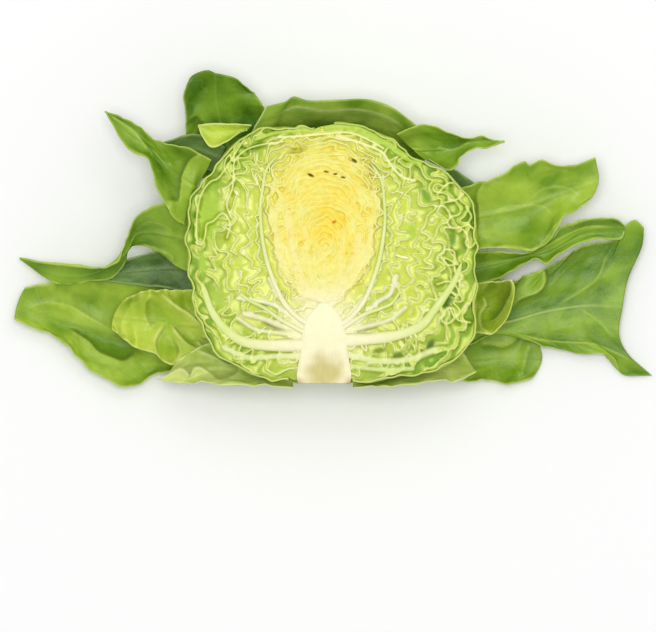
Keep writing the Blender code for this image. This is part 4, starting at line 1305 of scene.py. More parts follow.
               (-85, 41.5, 42), (-90, 46, 39), (-94, 53, 36), (-98, 60, 34)],
        shell=3.3, wave=0.5, waves=4, grid=(13, 8),
        tone=Tone.BLADE, step_mm=0.6, blister=0.25, crumple=0.9,
        frill=0.6, rib_mm=0.9, rib_pale=0.1, seed=116,
        folds=(
            Fold([(-96.6, 58.9), (-90.7, 55), (-84.9, 51.1), (-81, 46.2),
                  (-78.1, 41.3)], 1.2, 4, 1.5, 0.5, 0.4),
            Fold([(-71.7, 19.9), (-64.9, 19.1), (-63.6, 24.7), (-62.4, 31.6), (-59, 37.9),
                  (-52.7, 41.5)], 2.6, 5, 1.4, 0.6, 0.8),
        ),
    ),
    Leaf(
        name="leaf_flap", slot="lime_leaf",
        left=[(-32, 53.5, 50), (-40, 54, 49), (-48, 54.5, 48), (-56, 53.7, 46)],
        rib=[(-34, 51.5, 46), (-42, 50, 45), (-50, 49.5, 45), (-56, 53.4, 46)],
        right=[(-37, 49.5, 50), (-43, 46, 50), (-50, 43.5, 49), (-54, 48, 47), (-56, 53, 46)],
        shell=2.8, wave=0.4, waves=2, grid=(8, 5),
        tone=Tone.LIME, step_mm=0.6, blister=0.1, crumple=0.3,
        frill=0.3, rib_mm=0.8, rib_pale=0.1, seed=117,
        folds=(
            Fold([(-47.8, 54), (-42, 55), (-36.1, 53)], 0.5, 3, 3, 0.2, 0.1),
        ),
    ),
    Leaf(
        name="leaf_upper_right", slot="deep_leaf",
        left=[(33, 49.5, 48), (42, 53.5, 48), (50, 53, 47), (60, 49, 45), (65, 47.5, 43), (71, 48.5, 42),
              (77, 47, 40), (81.5, 46.6, 38)],
        rib=[(40, 43, 40), (50, 43, 36), (59, 44, 37), (69, 46, 39), (81.5, 46.3, 38)],
        right=[(47, 37.5, 46), (54, 33, 46), (60, 35, 45), (62, 39.5, 43), (68, 43, 42), (73, 43.2, 41),
               (78, 45, 39), (81.5, 46, 38)],
        shell=2.8, wave=0.5, waves=3, grid=(11, 7),
        tone=Tone.BLADE, step_mm=0.55, blister=0.2, crumple=0.7,
        frill=0.5, rib_mm=0.8, rib_pale=0.1, seed=118,
        folds=(
            Fold([(51.3, 44.6), (56, 42.7), (61.2, 43.7), (66.3, 46.7),
                  (72.4, 48.5)], 1.2, 4, 2, 0.4, 0.5),
            Fold([(50.9, 36.8), (53.4, 32.5), (56.9, 31.7)], 0.8, 3, 2, 0.3, 0.3),
        ),
    ),
)


@dataclass(frozen=True)
class Hollow:
    """A smooth hollow or open gap in the cut face; dark hollow colours are painted shade over deeper leaves.
    """

    x: float
    y: float
    long_mm: float
    wide_mm: float
    turn: float
    deep_mm: float
    colour: Colour

    def share(self, x: Array, y: Array) -> Array:
        """How far each point lies in the hollow, from 0 outside to 1 in its middle.

        Args:
            x: first coordinate.
            y: second coordinate.

        Returns:
            Numbers from 0 to 1.
        """
        a = np.radians(self.turn)
        dx, dy = x - self.x, y - self.y
        along = (dx * np.cos(a) + dy * np.sin(a)) / self.long_mm
        across = (-dx * np.sin(a) + dy * np.cos(a)) / self.wide_mm
        return smooth_step(1.05, 0.25, np.hypot(along, across))


@dataclass(frozen=True)
class CutEdge:
    """A single cut leaf edge that is drawn over the crumple."""

    line: Line
    half_mm: float = 0.24
    deep_mm: float = 4.0
    slope_mm: float = 1.0

    def distance(self, x: Array, y: Array) -> Array:
        """Distance to the edge's line.

        Args:
            x: first coordinate.
            y: second coordinate.

        Returns:
            Distances in mm.
        """
        return nearest_on_line(x, y, smooth_line(self.line, 4 * len(self.line)))[0]


@dataclass(frozen=True)
class Band:
    """A pale rib, cut along, that lies level with the cut face."""

    line: Line
    half_mm: float
    colour: Colour
    sink_mm: float = 0.3
    cover: float = 1.0

    def distance(self, x: Array, y: Array) -> Array:
        """Distance to the rib's middle line.

        Args:
            x: first coordinate.
            y: second coordinate.

        Returns:
            Distances in mm.
        """
        return nearest_on_line(x, y, smooth_line(self.line, 6 * len(self.line)))[0]


@dataclass
class CutFace:
    """The cut through the head: many folded leaves, each a pale edge with sloping walls beside it.

    Leaves are level lines of a smooth field that counts them from the middle of the heart out to
    the outline. The field is read at a place that is swayed by random hills, so that the lines
    fold and curl. In the ring the place is also moved out and in by a wave that runs round the
    head, sideways as well as outwards, so that the lines ruffle like petals. Between two lines the
    surface sinks to a lowest line, nearer to one of them, and rises again. Hollows, single edges
    and ribs that are listed one by one come last, on top of the field.
    """

    head: Head
    hollows: Sequence[Hollow]
    edges: Sequence[CutEdge]
    bands: Sequence[Band]
    heart_leaves: int = 19
    sway_mm: float = 2.6
    fold_mm: float = 9.0
    ruffles: int = 33
    ruffle_mm: float = 2.7
    edge_mm: float = 0.12
    margin_mm: float = 1.7
    seed: int = 11
    curl_mm: float = 3.1
    wall_mm: float = 2.6
    wall_rise: float = 1.9
    wall_hills_mm: float = 7.0
    heart_flat: float = 0.86
    stem_fade_mm: tuple[float, float] = (21, 7)
    # Colours of the cut edge, the upper wall and the pocket, from pale to green here and from cream to deep
    # yellow in yellows; the darker wall and pocket colours are painted shade for the sunken parts
    greens: tuple[tuple[Colour, Colour], ...] = (
        ((240, 243, 182), (230, 238, 152)),
        ((232, 237, 150), (216, 228, 112)),
        ((196, 208, 80), (116, 156, 28)),
    )
    yellows: tuple[tuple[Colour, Colour], ...] = (
        ((240, 236, 152), (244, 228, 108)),
        ((238, 232, 132), (244, 222, 90)),
        ((230, 222, 104), (240, 208, 66)),
    )

    def rim(self, angle: Array) -> Array:
        """Distance from the head's middle to its ruffled rim.

        Args:
            angle: in radians.

        Returns:
            Distances in mm.
        """
        return self.head.outer.at(angle) + self.margin_mm + self.head.ruffle(angle)

    def place(self, x: Array, y: Array) -> tuple[Array, Array, Array]:
        """Where a point lies in the heart and in the ring round it.

        Args:
            x: first coordinate.
            y: second coordinate.

        Returns:
            Share of the way to the heart's outline, share of the way over the ring, and the
            ring's width there in mm.
        """
        hx, hy = x - HEART_GROWTH[0], y - HEART_GROWTH[1]
        in_heart = np.hypot(hx, hy) / self.head.growth.at(np.arctan2(hy, hx))
        dx, dy = x - HEAD_MIDDLE[0], y - HEAD_MIDDLE[1]
        angle = np.arctan2(dy, dx)
        low = self.head.inner.at(angle)
        room = self.rim(angle) - low
        return in_heart, (np.hypot(dx, dy) - low) / room, room

    def level(self, x: Array, y: Array) -> Array:
        """Number of leaves from the middle out to a point, a whole number on a leaf's edge.

        Args:
            x: first coordinate.
            y: second coordinate.

        Returns:
            Leaf numbers.
        """
        in_heart, in_ring, room = self.place(x, y)
        heart = smooth_step(1.05, 0.75, in_heart)
        calm = np.minimum(1, room / 22) * np.clip(7 * (1 - in_ring), 0.06, 1)
        sway = self.sway_mm * calm * (1 - 0.1 * heart)
        fold, curl_mm = self.fold_mm, self.curl_mm
        one, two, fine = Hills(self.seed), Hills(self.seed + 7), Hills(self.seed + 13)
        curl = (0.16 + 0.3 * heart) * sway
        sx = one.rough(x / fold, y / fold, 2) * sway * 2 + fine(x / curl_mm, y / curl_mm) * curl
        sy = two.rough(x / fold, y / fold, 2) * sway * 2 + fine(y / curl_mm, x / curl_mm) * curl
        dx, dy = x - HEAD_MIDDLE[0], y - HEAD_MIDDLE[1]
        angle, far = np.arctan2(dy, dx), np.hypot(dx, dy) + 1e-6
        phase = self.ruffles * angle + 7 * in_ring + 8 * one.rough(x / 17, y / 17, 2)
        uneven = 1 + 0.9 * two(x / 10, y / 10)
        tall = self.ruffle_mm * calm * (1 - heart) * uneven * smooth_step(16, 58, far)
        out, round_mm = tall * np.sin(phase), 0.6 * tall * np.sin(2 * phase)
        sx = sx + (out * dx - round_mm * dy) / far
        sy = sy + (out * dy + round_mm * dx) / far
        in_heart, in_ring, room = self.place(x + sx, y + sy)
        outside = self.heart_leaves + (1.9 + 0.125 * room) * in_ring
        return np.where(in_heart < 1, self.heart_leaves * in_heart, outside)

    def read(self, x: Array, y: Array) -> tuple[Array, Array]:
        """Depth below the cut plane, and colour, at each point.

        The gap between two leaves is one over the slope of the leaf count. Walls are deeper where
        the gap is wide, and shallow in the heart and by the stem. Three colours follow the depth:
        the cut edge, the upper wall and the pocket; each goes from the heart's yellow to green. The
        pale cut edge is the cut's own colour; the wall and pocket colours that the face takes on as
        it sinks are painted shade.

        Args:
            x: first coordinate in mm.
            y: second coordinate in mm.

        Returns:
            Depths in mm, and colours.
        """
        step = 0.05
        level = self.level(x, y)
        slope = np.hypot(self.level(x + step, y) - level, self.level(x, y + step) - level) / step
        slope = np.clip(slope, 0.12, 3)
        since = level - np.floor(level)
        in_heart, in_ring, room = self.place(x, y)
        heart = smooth_step(1.12, 0.8, in_heart)
        big, small = Hills(self.seed + 3), Hills(self.seed + 21)
        low = np.clip(0.5 + 3 * big(x / 14 + 5, y / 14), 0.12, 0.88)
        gap = 1 / slope
        edge = smooth_step(0, 0.55, np.minimum(since, 1 - since) * gap - self.edge_mm)
        sunk = np.where(since < low, since / low, (1 - since) / (1 - low)) * edge
        uneven = self.wall_hills_mm * big(x / 11, y / 11)
        deep = (self.wall_mm + self.wall_rise * np.minimum(gap, 5) + uneven) * (1 - self.heart_flat * heart)
        drop = np.maximum(0.4, deep) * (0.4 + 0.6 * np.minimum(1, room / 18)) * sunk
        green = np.clip(head_greening(x, y, in_ring), 0, 1)
        gold = np.clip(heart_greening(x, y, in_heart), 0, 1)
        stem = smooth_step(*self.stem_fade_mm, np.hypot(x * 0.8, (y + 37) * 0.85))
        drop = drop * (1 - 0.88 * stem)
        # painted shade: deeper places go further towards the wall and pocket colours
        sunk = sunk + 0.05 * (drop - 2) * (1 - heart)
        warm = smooth_step(1.35, 0.8, in_heart)
        shades = []
        for (a, b), (c, d) in zip(self.greens, self.yellows):
            outer, inner = mix(linear(a), linear(b), green), mix(linear(c), linear(d), gold)
            shades.append(mix(outer, inner, warm))
        faint = 0.5 - 1.6 * small.rough(x / 5, y / 5, 2)
        colour = mix(shades[0], shades[1], np.clip(faint, 0, 0.8))
        # painted shade: from the cut edge's colour over the wall's to the pocket's as the face sinks
        colour = mix(colour, shades[1], smooth_step(0.0, 0.35, sunk))
        colour = mix(colour, shades[2], smooth_step(0.35, 1.0, sunk))
        for hollow in self.hollows:
            inside = hollow.share(x, y)
            drop = drop * (1 - 0.85 * inside) + hollow.deep_mm * inside
            # a hollow's colour: the deeper leaves, with painted shade where it is dark
            colour = mix(colour, linear(hollow.colour), 1.1 * inside)
        for line in self.edges:
            near = line.distance(x, y)
            ridge = line.deep_mm * (1 - np.exp(-np.maximum(0, near - line.half_mm) / line.slope_mm))
            pale = 0.85 * smooth_step(line.half_mm + 0.3, line.half_mm - 0.1, near) * (ridge < drop + 0.5)
            colour = mix(colour, shades[0], pale)
            drop = np.minimum(drop, ridge + 0.15)
        for band in self.bands:
            near = band.distance(x, y)
            half = band.half_mm * (1 + 0.9 * np.exp(-np.hypot(x, y + 38) / 9))
            on = smooth_step(half + 0.7, half - 0.3, near) * band.cover
            drop = drop * (1 - on) + (band.sink_mm + 0.3 * (near / half)**2) * on
            colour = mix(colour, linear(band.colour), 0.85 * on)
        crumbs = 0.3 * heart * np.maximum(0, small(x / 1.3, y / 1.3))
        colour = colour * (1 + 0.06 * small.rough(x / 2.2, y / 2.2, 2))[..., None]
        colour = mix(colour, linear(CREAM), 0.85 * stem)
        return drop + 0.3 + crumbs + 0.35 * (0.5 + big(x / 5, y / 5)), colour


def head_greening(x: Array, y: Array, share: Array) -> Array:
    """How green the head's cut leaves are: pale by the heart and the stem, green at the outline.

    Args:
        x: first coordinate.
        y: second coordinate.
        share: place between heart and outline.

    Returns:
        Numbers from 0, cream, to 1, green.
    """
    stem = smooth_step(10, 44, np.hypot(x, y + 46))
    patch = Hills(92).rough(x / 14, y / 14, 2)
    green = (0.95 * smooth_step(0.3, 1.05, share) + 0.3 * patch) * (0.3 + 0.7 * stem)
    return green + 0.15 * smooth_step(20, 50, y)


def heart_greening(x: Array, y: Array, share: Array) -> Array:
    """How deep a yellow the heart's leaves are.

    Args:
        x: first coordinate.
        y: second coordinate.
        share: place between the middle and the outline.

    Returns:
        Numbers from 0, cream, to 1, deep yellow.
    """
    patch = Hills(91).rough(x / 9, y / 9, 3)
    core = np.exp(-((x - 4) / 14)**2 - ((y - 11) / 19)**2)
    paler = 0.5 * smooth_step(-4, -26, y) + 0.6 * smooth_step(0.8, 1.5, share)
    return 0.12 + 0.75 * core + 0.55 * patch - paler


# A hollow is given as: x, y, half length, half width, turn in degrees, depth, colour (the leaves
# deep in it, darkened as painted shade where the colour is dark); a cut edge as: line, half width,
# depth beside it, reach of its slope; a band as: line, half width, colour, depth of its middle, and
# how fully it covers what lies below.
HEAD_HOLLOWS: Sequence[Hollow] = [
    Hollow(-50.5, 14, 17, 7.5, 84, 6.0, (166, 196, 58)),
    Hollow(-49, 27, 8, 4, 40, 5.0, (146, 180, 46)),
    Hollow(-22, -36, 8, 2.6, -25, 7, (140, 140, 40)),
    Hollow(20, -37, 8, 2.4, 18, 7, (138, 146, 46)),
    Hollow(33.5, -50, 4.6, 2.6, 20, 8, (104, 130, 28)),
    Hollow(25, -47.4, 4.4, 1.8, 8, 6, (130, 146, 44)),
    Hollow(55.5, -25.5, 5, 2.6, 62, 8, (84, 124, 20)),
    Hollow(48, -45, 4.4, 2.4, 60, 8, (80, 116, 16)),
    Hollow(58, 3, 6, 2.2, 84, 7, (112, 152, 30)),
    Hollow(46, 22, 6, 2.2, 120, 7, (124, 162, 34)),
    Hollow(-54, -8, 8, 2.4, 96, 5, (166, 196, 66)),
    Hollow(-47, -24, 7, 4, 118, 5, (170, 196, 66)),
    Hollow(-33, -34, 6.5, 4.6, -30, 4.5, (214, 218, 120)),
    Hollow(36, -31, 6, 4, 50, 5.5, (196, 206, 66)),
    Hollow(-30, 44, 6, 2.4, 24, 5, (128, 160, 36)),
    Hollow(-12, 42, 6, 1.6, 8, 3.5, (190, 186, 60)),
    Hollow(-36, 20, 5, 2.0, 80, 4, (200, 214, 92)),
    Hollow(40, 6, 6, 3, 100, 6, (176, 200, 60)),
    Hollow(-38, -8, 5, 3, 60, 5, (196, 212, 84)),
]
HEAD_LINES: Sequence[CutEdge] = [
    CutEdge([(-35, 47.5), (-39, 41), (-43.5, 34), (-47, 29.5), (-50, 28.3), (-53, 25),
        (-55, 20.5), (-56.2, 14), (-56.6, 7), (-56.3, 0)]),
    CutEdge([(-57, 1), (-54, 0), (-52.5, 5), (-52, 9), (-49, 10.5), (-45, 14), (-42.5, 12),
        (-41.5, 8), (-43, 3)]),
    CutEdge([(-41, 12), (-43, 18), (-40.5, 25), (-40, 31), (-39.5, 37), (-35, 42), (-28, 44.5),
        (-18, 46)]),
    CutEdge([(6, 48.5), (15, 46), (26, 41.5), (30, 36), (35, 30.5), (41, 28.5)], 0.45, 3.5, 1.6),
    CutEdge([(-20, 48), (-8, 48.6), (4, 49.8), (12, 50), (20, 47), (27, 43)], 0.4, 3, 1.0),
    CutEdge([(50.9, 22.2), (56, 27.4), (61.2, 26.1), (62.7, 22.6), (59, 19.8),
        (54.3, 18.8)], 0.25, 4.5, 1.3),
    CutEdge([(63.8, 17), (66.3, 12.7), (65.1, 9.3), (68.1, 5.8), (68.1, 1.1), (65.5, -1.5),
        (63.8, 0.7), (64.5, 3.7), (62.7, 6.7)], 0.25, 4.5, 1.3),
    CutEdge([(50.9, 17), (54.3, 17), (57, 12.7), (55.6, 10.1), (57.3, 7.7), (60.3, 7.4),
        (65.1, 8.9)], 0.25, 4.5, 1.3),
    CutEdge([(52.7, -6.2), (53.4, -3.2), (56, -2.1), (58.8, -3.8), (58.3, -8.8), (55.6, -9),
        (53.9, -6.9)], 0.25, 4.5, 1.3),
    CutEdge([(50.9, -17.8), (56, -16.5), (59.5, -18.7), (60.8, -22.6), (58.6, -21.9),
        (55.8, -21.3), (53.3, -26), (52.6, -29.9)], 0.25, 4.5, 1.3),
    CutEdge([(58.8, -32.9), (56.5, -28.2), (54.3, -30.3), (53, -33.8), (56, -35.3), (59.8, -32),
        (64.6, -26)], 0.25, 4.5, 1.3),
    CutEdge([(60.3, -33.8), (63.8, -34.6), (65.9, -34.8)], 0.25, 4.5, 1.3),
    CutEdge([(58.6, -7.9), (59.3, -12.7), (62, -13.5), (62.2, -15.3), (59.5, -16.5)], 0.25, 4.5, 1.3),
]
BANDS: Sequence[Band] = [
    Band([(-4, -25), (-9, -16), (-13, -5), (-15, 6), (-15.5, 14)], 1.3, (244, 226, 160), 0.4, 0.5),
    Band([(-2, -25), (-5, -14), (-7, -2), (-8, 8)], 0.8, (246, 228, 140), 0.4, 0.45),
    Band([(0, -25), (0.5, -12), (1, 0)], 0.7, (246, 230, 140), 0.4, 0.4),
    Band([(2.5, -25), (6, -14), (8.5, -3), (9.5, 6)], 0.8, (246, 228, 140), 0.4, 0.45),
    Band([(4.5, -25), (10, -15), (14.5, -5), (16, 4)], 1.2, (244, 226, 160), 0.4, 0.5),
    Band([(7, -25), (14, -16), (19, -5), (21.5, 6)], 0.8, (244, 232, 160), 0.4, 0.5),
    Band([(-7, -26), (-14, -16), (-19, -5), (-21, 4)], 0.9, (244, 232, 166), 0.4, 0.5),
    Band([(-9, -35), (-14, -30), (-20, -23), (-24, -15)], 0.9, (236, 232, 198), 0.5),
    Band([(-9, -36), (-16, -31), (-22, -27), (-30, -25), (-38, -24)], 0.9, (234, 234, 198), 0.7),
    Band([(-9, -38), (-18, -36.5), (-27, -33), (-35, -31)], 1.1, (232, 234, 192), 0.8),
    Band([(-9, -41), (-20, -39.5), (-30, -38), (-38, -33)], 0.8, (228, 232, 182), 1.0),
    Band([(9, -35), (14, -29), (20, -22), (23, -15)], 0.9, (236, 232, 198), 0.5),
    Band([(9, -37), (17, -33), (24, -26), (30, -22), (33, -14)], 1.0, (234, 234, 198), 0.6),
    Band([(10, -39), (20, -36.5), (30, -33.5), (37, -28)], 0.9, (232, 234, 192), 0.9),
    Band([(-10, -50), (-22, -50), (-34, -50.5), (-44, -46)], 1.2, (222, 230, 162), 0.8),
    Band([(10, -49), (24, -52), (38, -51.5), (50, -47)], 1.3, (222, 230, 162), 0.8),
    Band([(10, -54), (26, -56), (40, -55.5)], 1.0, (210, 224, 142), 1.0),
    Band([(2, 52), (11, 52.6), (20, 49.6), (29, 44.8), (36, 39.8), (43, 36.4)], 1.5,
        (178, 206, 76), 0.7),
    Band([(-30, 47), (-21, 50), (-11, 50.8), (-2, 51.6)], 0.9, (184, 208, 88), 0.8),
]
HEART_HOLLOWS: Sequence[Hollow] = [
    Hollow(-5.5, 31, 1.9, 0.7, -24, 3.5, (112, 98, 30)),
    Hollow(1.5, 32.6, 1.5, 0.5, -12, 3, (130, 110, 34)),
    Hollow(5.5, 31.5, 1.2, 0.5, 10, 3, (140, 116, 34)),
    Hollow(9, 30, 1.3, 0.5, -10, 3, (140, 116, 34)),
    Hollow(14, 37.5, 1.9, 0.8, -35, 3.5, (104, 100, 26)),
    Hollow(5, 10, 1.2, 0.7, 30, 2, (228, 160, 30)),
]


@dataclass
class CutBody:
    """A half body of packed leaves: its cut face, the bowl of its back, and a cup for what it holds."""

    name: str
    face: CutFace
    middle: tuple[float, float]
    bowl_mm: float
    steps: int
    rows: int
    cup_mm: float = 0.0
    cup_rows: int = 12
    back_rows: int = 16
    first_turn: float = 3.0
    bowl_gap_mm: float = 0.2

    def reach(self, angle: Array) -> tuple[Array, Array]:
        """How far in and out the face goes at each angle about the body's middle.

        Args:
            angle: in radians.

        Returns:
            The least and the greatest distance in mm.
        """
        head = self.face.head
        if self.cup_mm > 0:
            return head.inner.at(angle), self.face.rim(angle)
        return 0 * angle, head.heart.at(angle) + 0.25

    def mesh(self, start: float, end: float) -> PieceMesh:
        """Build the part of the body between two angles.

        The rows of points run up out of the cup, across the face, and down the back to its lowest
        point; the columns run round.

        Args:
            start: first angle in degrees.
            end: last angle in degrees.

        Returns:
            The mesh, with its colours.
        """
        angle = np.radians(np.linspace(start, end, self.steps))[None, :]
        share = np.linspace(0, 1, self.rows)[:, None]
        low, high = self.reach(angle)
        reach = low + (high - low) * share
        mx, my = self.middle
        x, y = mx + reach * np.cos(angle), my + reach * np.sin(angle)
        drop, colour = self.face.read(x, y)
        top = np.stack([x, y, CUT_Z - FACE_DROP - drop], axis=-1)
        first, last = drop[:1], drop[-1:]
        blocks, tints = [top], [colour]
        if self.cup_mm > 0:
            down = np.radians(np.linspace(90, self.first_turn, self.cup_rows))[:, None]
            side = low * np.cos(down)
            z = CUT_Z - FACE_DROP - first - (self.cup_mm - first) * np.sin(down)
            blocks.insert(0, np.stack([mx + side * np.cos(angle), my + side * np.sin(angle), z], axis=-1))
            tints.insert(0, np.repeat(colour[:1], len(down), axis=0))
        out = np.radians(np.linspace(self.first_turn, 90, self.back_rows))[:, None]
        side = high * np.cos(out)
        z = CUT_Z - FACE_DROP - last - (self.bowl_mm - self.bowl_gap_mm - last) * np.sin(out)
        blocks.append(np.stack([mx + side * np.cos(angle), my + side * np.sin(angle), z], axis=-1))
        tints.append(np.repeat(colour[-1:], len(out), axis=0))
        points = np.concatenate(blocks)
        mesh = PieceMesh(points.reshape(-1, 3), grid_quads(len(points), self.steps)[:, ::-1])
        mesh.colours["Tint"] = np.concatenate(tints).reshape(-1, 3)
        return mesh

    def make(self, finish: bpy.types.Material, slot: str, sides: Sequence[tuple[str, float, float]]) -> None:
        """Build the body in one or more parts.

        Args:
            finish: its material.
            slot: the record's material slot.
            sides: name, first and last angle of each part.
        """
        for side, start, end in sides:
            self.mesh(start, end).build(f"{self.name}_{side}", finish, self.name, slot)


# A thick rib is given as: middle line, width at the stem, width at its end.
RIBS: Sequence[tuple[Line, float, float]] = [
    ([(-6, -36), (-12, -32), (-18, -25), (-24, -11), (-27, 2), (-28, 16), (-27, 25), (-25, 34),
      (-19, 41)], 2.6, 1.3),
    ([(6, -37), (13, -32), (19, -24), (24, -11), (26.5, 0), (27.7, 11), (27.3, 20), (26, 29),
      (21, 37)], 2.6, 1.3),
    ([(-8, -45), (-24, -45), (-35, -43.5), (-43, -38.5), (-49, -31), (-52, -24), (-54, -17)], 6.0, 2.6),
    ([(8, -43), (23, -42), (35, -40), (44, -36), (50, -29), (55, -22), (59, -16), (62, -8)], 6.0, 2.4),
    ([(-7, -40), (-19, -33.5), (-26, -28.5), (-33, -25), (-38, -21)], 2.3, 1.4),
    ([(8, -38), (18, -31.5), (26, -28.5), (31, -26), (35, -20)], 2.3, 1.4),
]
STEM_PROFILE: Line = [
    (-62, 11.6), (-59, 12.2), (-54, 11.6), (-48, 10.6), (-42, 10.2), (-36, 8.8), (-31, 7.0),
    (-26.2, 4.6),
]
RIB_SECTION: Line = [
    (-1.15, -5), (-1.1, -2.5), (-1.0, -0.8), (-0.88, -0.3), (-0.6, -0.08), (-0.2, 0), (0.2, 0),
    (0.6, -0.08), (0.88, -0.3), (1.0, -0.8), (1.1, -2.5), (1.15, -5),
]


@dataclass
class Stem:
    """The cut stump, half round below, and the thick ribs that fan out of it."""

    cream: Colour = (240, 234, 190)
    pith: Colour = (188, 174, 80)
    bark: Colour = (186, 150, 96)
    tip: Colour = (212, 226, 132)
    fibre: Colour = (244, 238, 208)
    grain: Colour = (240, 240, 190)
    flank: Colour = (196, 208, 98)
    along: int = 120
    on_cut: int = 90
    on_back: int = 60
    rib_steps: int = 150

    def stump(self) -> PieceMesh:
        """The stump: flat on the cut, with a small worn corner, and half round below.

        Returns:
            Its mesh.
        """
        count = self.on_cut + self.on_back
        line = smooth_line(STEM_PROFILE, self.along)
        y, wide = line[:, 0][:, None], line[:, 1][:, None]
        wide = wide * np.clip((-25.5 - y) / 7, 0.002, 1)**0.35
        over, under = np.linspace(-1, 1, self.on_cut), np.linspace(0, np.pi, self.on_back)
        around = np.concatenate([over, under])[None, :]
        on_cut = (np.arange(count) < self.on_cut)[None, :]
        hills = Hills(33)
        x_cut = around * wide * 0.985
        z_cut = CUT_Z - 0.15 - 0.35 * np.abs(around)**14 - 0.10 * (hills.rough(x_cut / 0.9, y / 9, 2) + 0.5)
        x_back = np.cos(around) * wide
        z_back = CUT_Z - 0.5 - np.sin(around) * (wide * 0.94 - 0.5)
        x = np.where(on_cut, x_cut, x_back) + HEAD_MIDDLE[0] - 0.5
        z = np.where(on_cut, z_cut, z_back)
        points = np.stack([x, y + 0 * x, z], axis=-1)
        cream, pith, bark = linear(self.cream), linear(self.pith), linear(self.bark)
        spot = smooth_step(1.15, 0.35, np.hypot((x - 0.5) / 10.5, (y + 57) / 10) + 0.3 * hills(x / 5, y / 5))
        colour = mix(cream + 0 * points, pith, 0.8 * spot)
        fibre = smooth_step(0.1, 0.6, hills.rough(x / 0.8, y / 14, 2))
        colour = mix(colour, linear(self.fibre), 0.45 * fibre * (1 - 0.75 * spot))
        colour = mix(colour, linear(CREAM), smooth_step(-46, -32, y + 0 * x) * 0.85)
        corner = smooth_step(-58, -62, y) * smooth_step(0.62, 0.98, np.abs(x - 0.5) / wide)
        colour = mix(colour, bark, 0.8 * corner + np.where(on_cut, 0, 0.35 + 0.4 * hills(x / 3, y / 3)))
        middle = points.mean(axis=1, keepdims=True)
        middle[:, :, 1] = points[:, :1, 1]
        plain = colour.mean(axis=1, keepdims=True)
        capped, painted = (
            np.concatenate([np.repeat(end[:1], count, 1), side, np.repeat(end[-1:], count, 1)])
            for end, side in ((middle, points), (plain, colour))
        )
        mesh = PieceMesh(capped.reshape(-1, 3), grid_quads(self.along + 2, count, wrap=True))
        mesh.colours["Tint"] = painted.reshape(-1, 3)
        return mesh

    def rib(self, line: Line, start: float, end: float, seed: int) -> PieceMesh:
        """A cut rib: a bar along a curved line that narrows to its end, with rounded top corners.

        Args:
            line: its middle line in mm.
            start: width at the stem.
            end: width at the end.
            seed: fixes its unevenness.

        Returns:
            Its mesh.
        """
        n = self.rib_steps
        path = smooth_line(line, n)
        along = np.gradient(path, axis=0)
        side = np.column_stack([-along[:, 1], along[:, 0]]) / np.linalg.norm(along, axis=1)[:, None]
        t = np.linspace(0, 1, n)[:, None]
        hills = Hills(seed)
        width = start + (end - start) * t
        blunt = np.sqrt(np.clip((1 - t) * 14, 0.02, 1))
        half = width / 2 * (1 + 0.18 * hills(t * 9, 0 * t)) * blunt
        ring = np.array(RIB_SECTION)
        out = half * ring[:, 0][None, :]
        z = CUT_Z - 0.25 + ring[:, 1][None, :] - 0.5 * t**3 - 0.12 * hills(out / 1.1, t * 12)
        points = np.stack([path[:, :1] + side[:, :1] * out, path[:, 1:] + side[:, 1:] * out, z], axis=-1)
        cream, tip = linear(self.cream), linear(self.tip)
        colour = mix(cream + 0 * points, tip, smooth_step(0.02, 0.7, t + 0 * out))
        grain = smooth_step(0.05, 0.5, hills.rough(out / 0.7, t * 6, 2))
        colour = mix(colour, linear(self.grain), grain * 0.4)
        flank = smooth_step(0.7, 1.1, np.abs(ring[:, 0]))[None, :]
        colour = mix(colour, linear(self.flank), flank * 0.6 + 0 * t)
        mesh = PieceMesh(points.reshape(-1, 3), grid_quads(n, len(ring), wrap=True))
        mesh.colours["Tint"] = colour.reshape(-1, 3)
        return mesh

    def make(self, finish: bpy.types.Material) -> bpy.types.Object:
        """Build the stem with its ribs.

        Args:
            finish: its material.

        Returns:
            The stem's object.
        """
        mesh = self.stump()
        for k, (line, start, end) in enumerate(RIBS):
            mesh.add(self.rib(line, start, end, 50 + k))
        return mesh.build("stem_skin", finish, "stem", "stem_flesh")


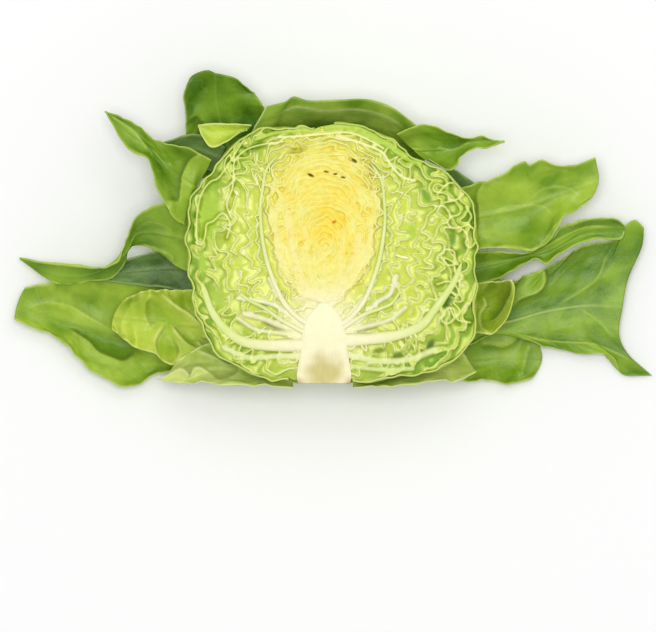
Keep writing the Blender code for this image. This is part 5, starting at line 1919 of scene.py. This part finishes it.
@dataclass
class Lettuce:
    """The whole half: cut face, stem, wrapping leaves and outer leaves."""

    head: Head = field(default_factory=Head)

    def finishes(self) -> dict[str, bpy.types.Material]:
        """Build the materials.

        Returns:
            Each material by its slot.
        """
        # Name, roughness, size of a mottle, strength of mottles and of relief, then veins.
        kinds = (
            Finish("stem_flesh", 0.42, 2.5, 0.06, 0.35),
            Finish("heart_leaf", 0.40, 1.6, 0.08, 0.3, glow=0.06, shine=0.12),
            Finish("inner_leaf", 0.38, 2.2, 0.10, 0.3, glow=0.05, shine=0.12),
            Finish("lime_leaf", 0.38, 3.0, 0.10, 0.6, 0.2, (226, 232, 150)),
            Finish("deep_leaf", 0.34, 3.5, 0.12, 0.8, 0.28, (150, 182, 84)),
            Finish("green_leaf", 0.36, 3.5, 0.12, 0.8, 0.25, (192, 208, 120)),
            Finish("grey_leaf", 0.40, 3.5, 0.12, 0.8, 0.25, (160, 178, 122)),
            Finish("pale_leaf", 0.38, 3.0, 0.08, 0.5, 0.2, (236, 238, 186)),
        )
        return {kind.name: kind.make() for kind in kinds}

    def make(self) -> None:
        """Build every piece."""
        finish = self.finishes()
        face = CutFace(self.head, [*HEAD_HOLLOWS, *HEART_HOLLOWS], HEAD_LINES, BANDS)
        head = CutBody("head", face, HEAD_MIDDLE, HEAD_DEPTH, steps=640, rows=92, cup_mm=30)
        sides = (("right_side", -90, 90), ("left_side", 90, 270))
        head.make(finish["inner_leaf"], "inner_leaf", sides)
        heart = CutBody("heart", face, HEART_MIDDLE, HEART_DEPTH, steps=540, rows=100)
        heart.make(finish["heart_leaf"], "heart_leaf", (("leaves", -90, 270),))
        Stem().make(finish["stem_flesh"])
        for name, start, end, seed in (("leaf_wrap_left", 95, 254, 71), ("leaf_wrap_right", -78, 86, 72)):
            Wrapper(name, start, end, Tone.LIME, seed).make(self.head, finish["lime_leaf"])
        pile = Pile()
        for leaf in LEAVES:
            leaf.make(self.head, pile, finish[leaf.slot])


@dataclass(frozen=True)
class Lamp:
    """A round soft light that points at the middle of the table."""

    name: str
    place: tuple[float, float, float]
    wide_m: float
    power_w: float

    def make(self) -> None:
        """Hang the light."""
        lamp = bpy.data.lights.new(self.name, "AREA")
        lamp.shape = "DISK"
        lamp.size = self.wide_m
        lamp.energy = self.power_w
        light = bpy.data.objects.new(self.name, lamp)
        bpy.context.scene.collection.objects.link(light)
        light.location = self.place
        light.rotation_euler = (-Vector(self.place)).to_track_quat("-Z", "Y").to_euler()


@dataclass
class Studio:
    """White table, soft light from above and behind, and a camera that looks straight down."""

    look_at: tuple[float, float] = (2.25, -31.95)
    height_m: float = 4.0
    leaf_m: float = 0.03
    span_mm: float = 295.2
    film_mm: float = 36.0
    table_m: float = 3.0
    paper: float = 0.93
    sky: float = 0.5
    lamps: Sequence[Lamp] = (
        Lamp("window", (0.1, 0.45, 1.8), 1.5, 8.5),
        Lamp("ceiling", (-0.04, 0.04, 2.3), 0.7, 20),
    )

    def table(self) -> None:
        """Lay the white table."""
        bpy.ops.mesh.primitive_plane_add(size=self.table_m)
        floor = bpy.context.active_object
        floor.name = "white_table"
        wiring = Wiring("white_paper")
        wiring.feed((self.paper, self.paper, self.paper, 1), wiring.shader.inputs["Base Color"])
        wiring.feed(0.9, wiring.shader.inputs["Roughness"])
        floor.data.materials.append(wiring.material)

    def sky_light(self) -> None:
        """Fill the room with even white light."""
        world = bpy.data.worlds.new("room")
        world.use_nodes = True
        background = world.node_tree.nodes["Background"]
        background.inputs["Color"].default_value = (1, 1, 1, 1)
        background.inputs["Strength"].default_value = self.sky
        bpy.context.scene.world = world

    def camera(self) -> None:
        """Hang the camera; its lens makes the span, at the leaves' height, fill the picture."""
        scene = bpy.context.scene
        lens = bpy.data.cameras.new("camera")
        camera = bpy.data.objects.new("camera", lens)
        scene.collection.objects.link(camera)
        camera.location = (self.look_at[0] * MM, self.look_at[1] * MM, self.height_m)
        lens.sensor_width = self.film_mm
        lens.lens = self.film_mm * (self.height_m - self.leaf_m) / (self.span_mm * MM)
        lens.clip_end = 20
        scene.camera = camera

    def make(self) -> None:
        """Build the table, the lights, the sky and the camera."""
        self.table()
        for lamp in self.lamps:
            lamp.make()
        self.sky_light()
        bpy.context.scene.view_settings.view_transform = "Standard"
        self.camera()


def main() -> None:
    """Build the lettuce and its studio."""
    Lettuce().make()
    Studio().make()
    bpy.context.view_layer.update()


if __name__ == "__main__":
    main()
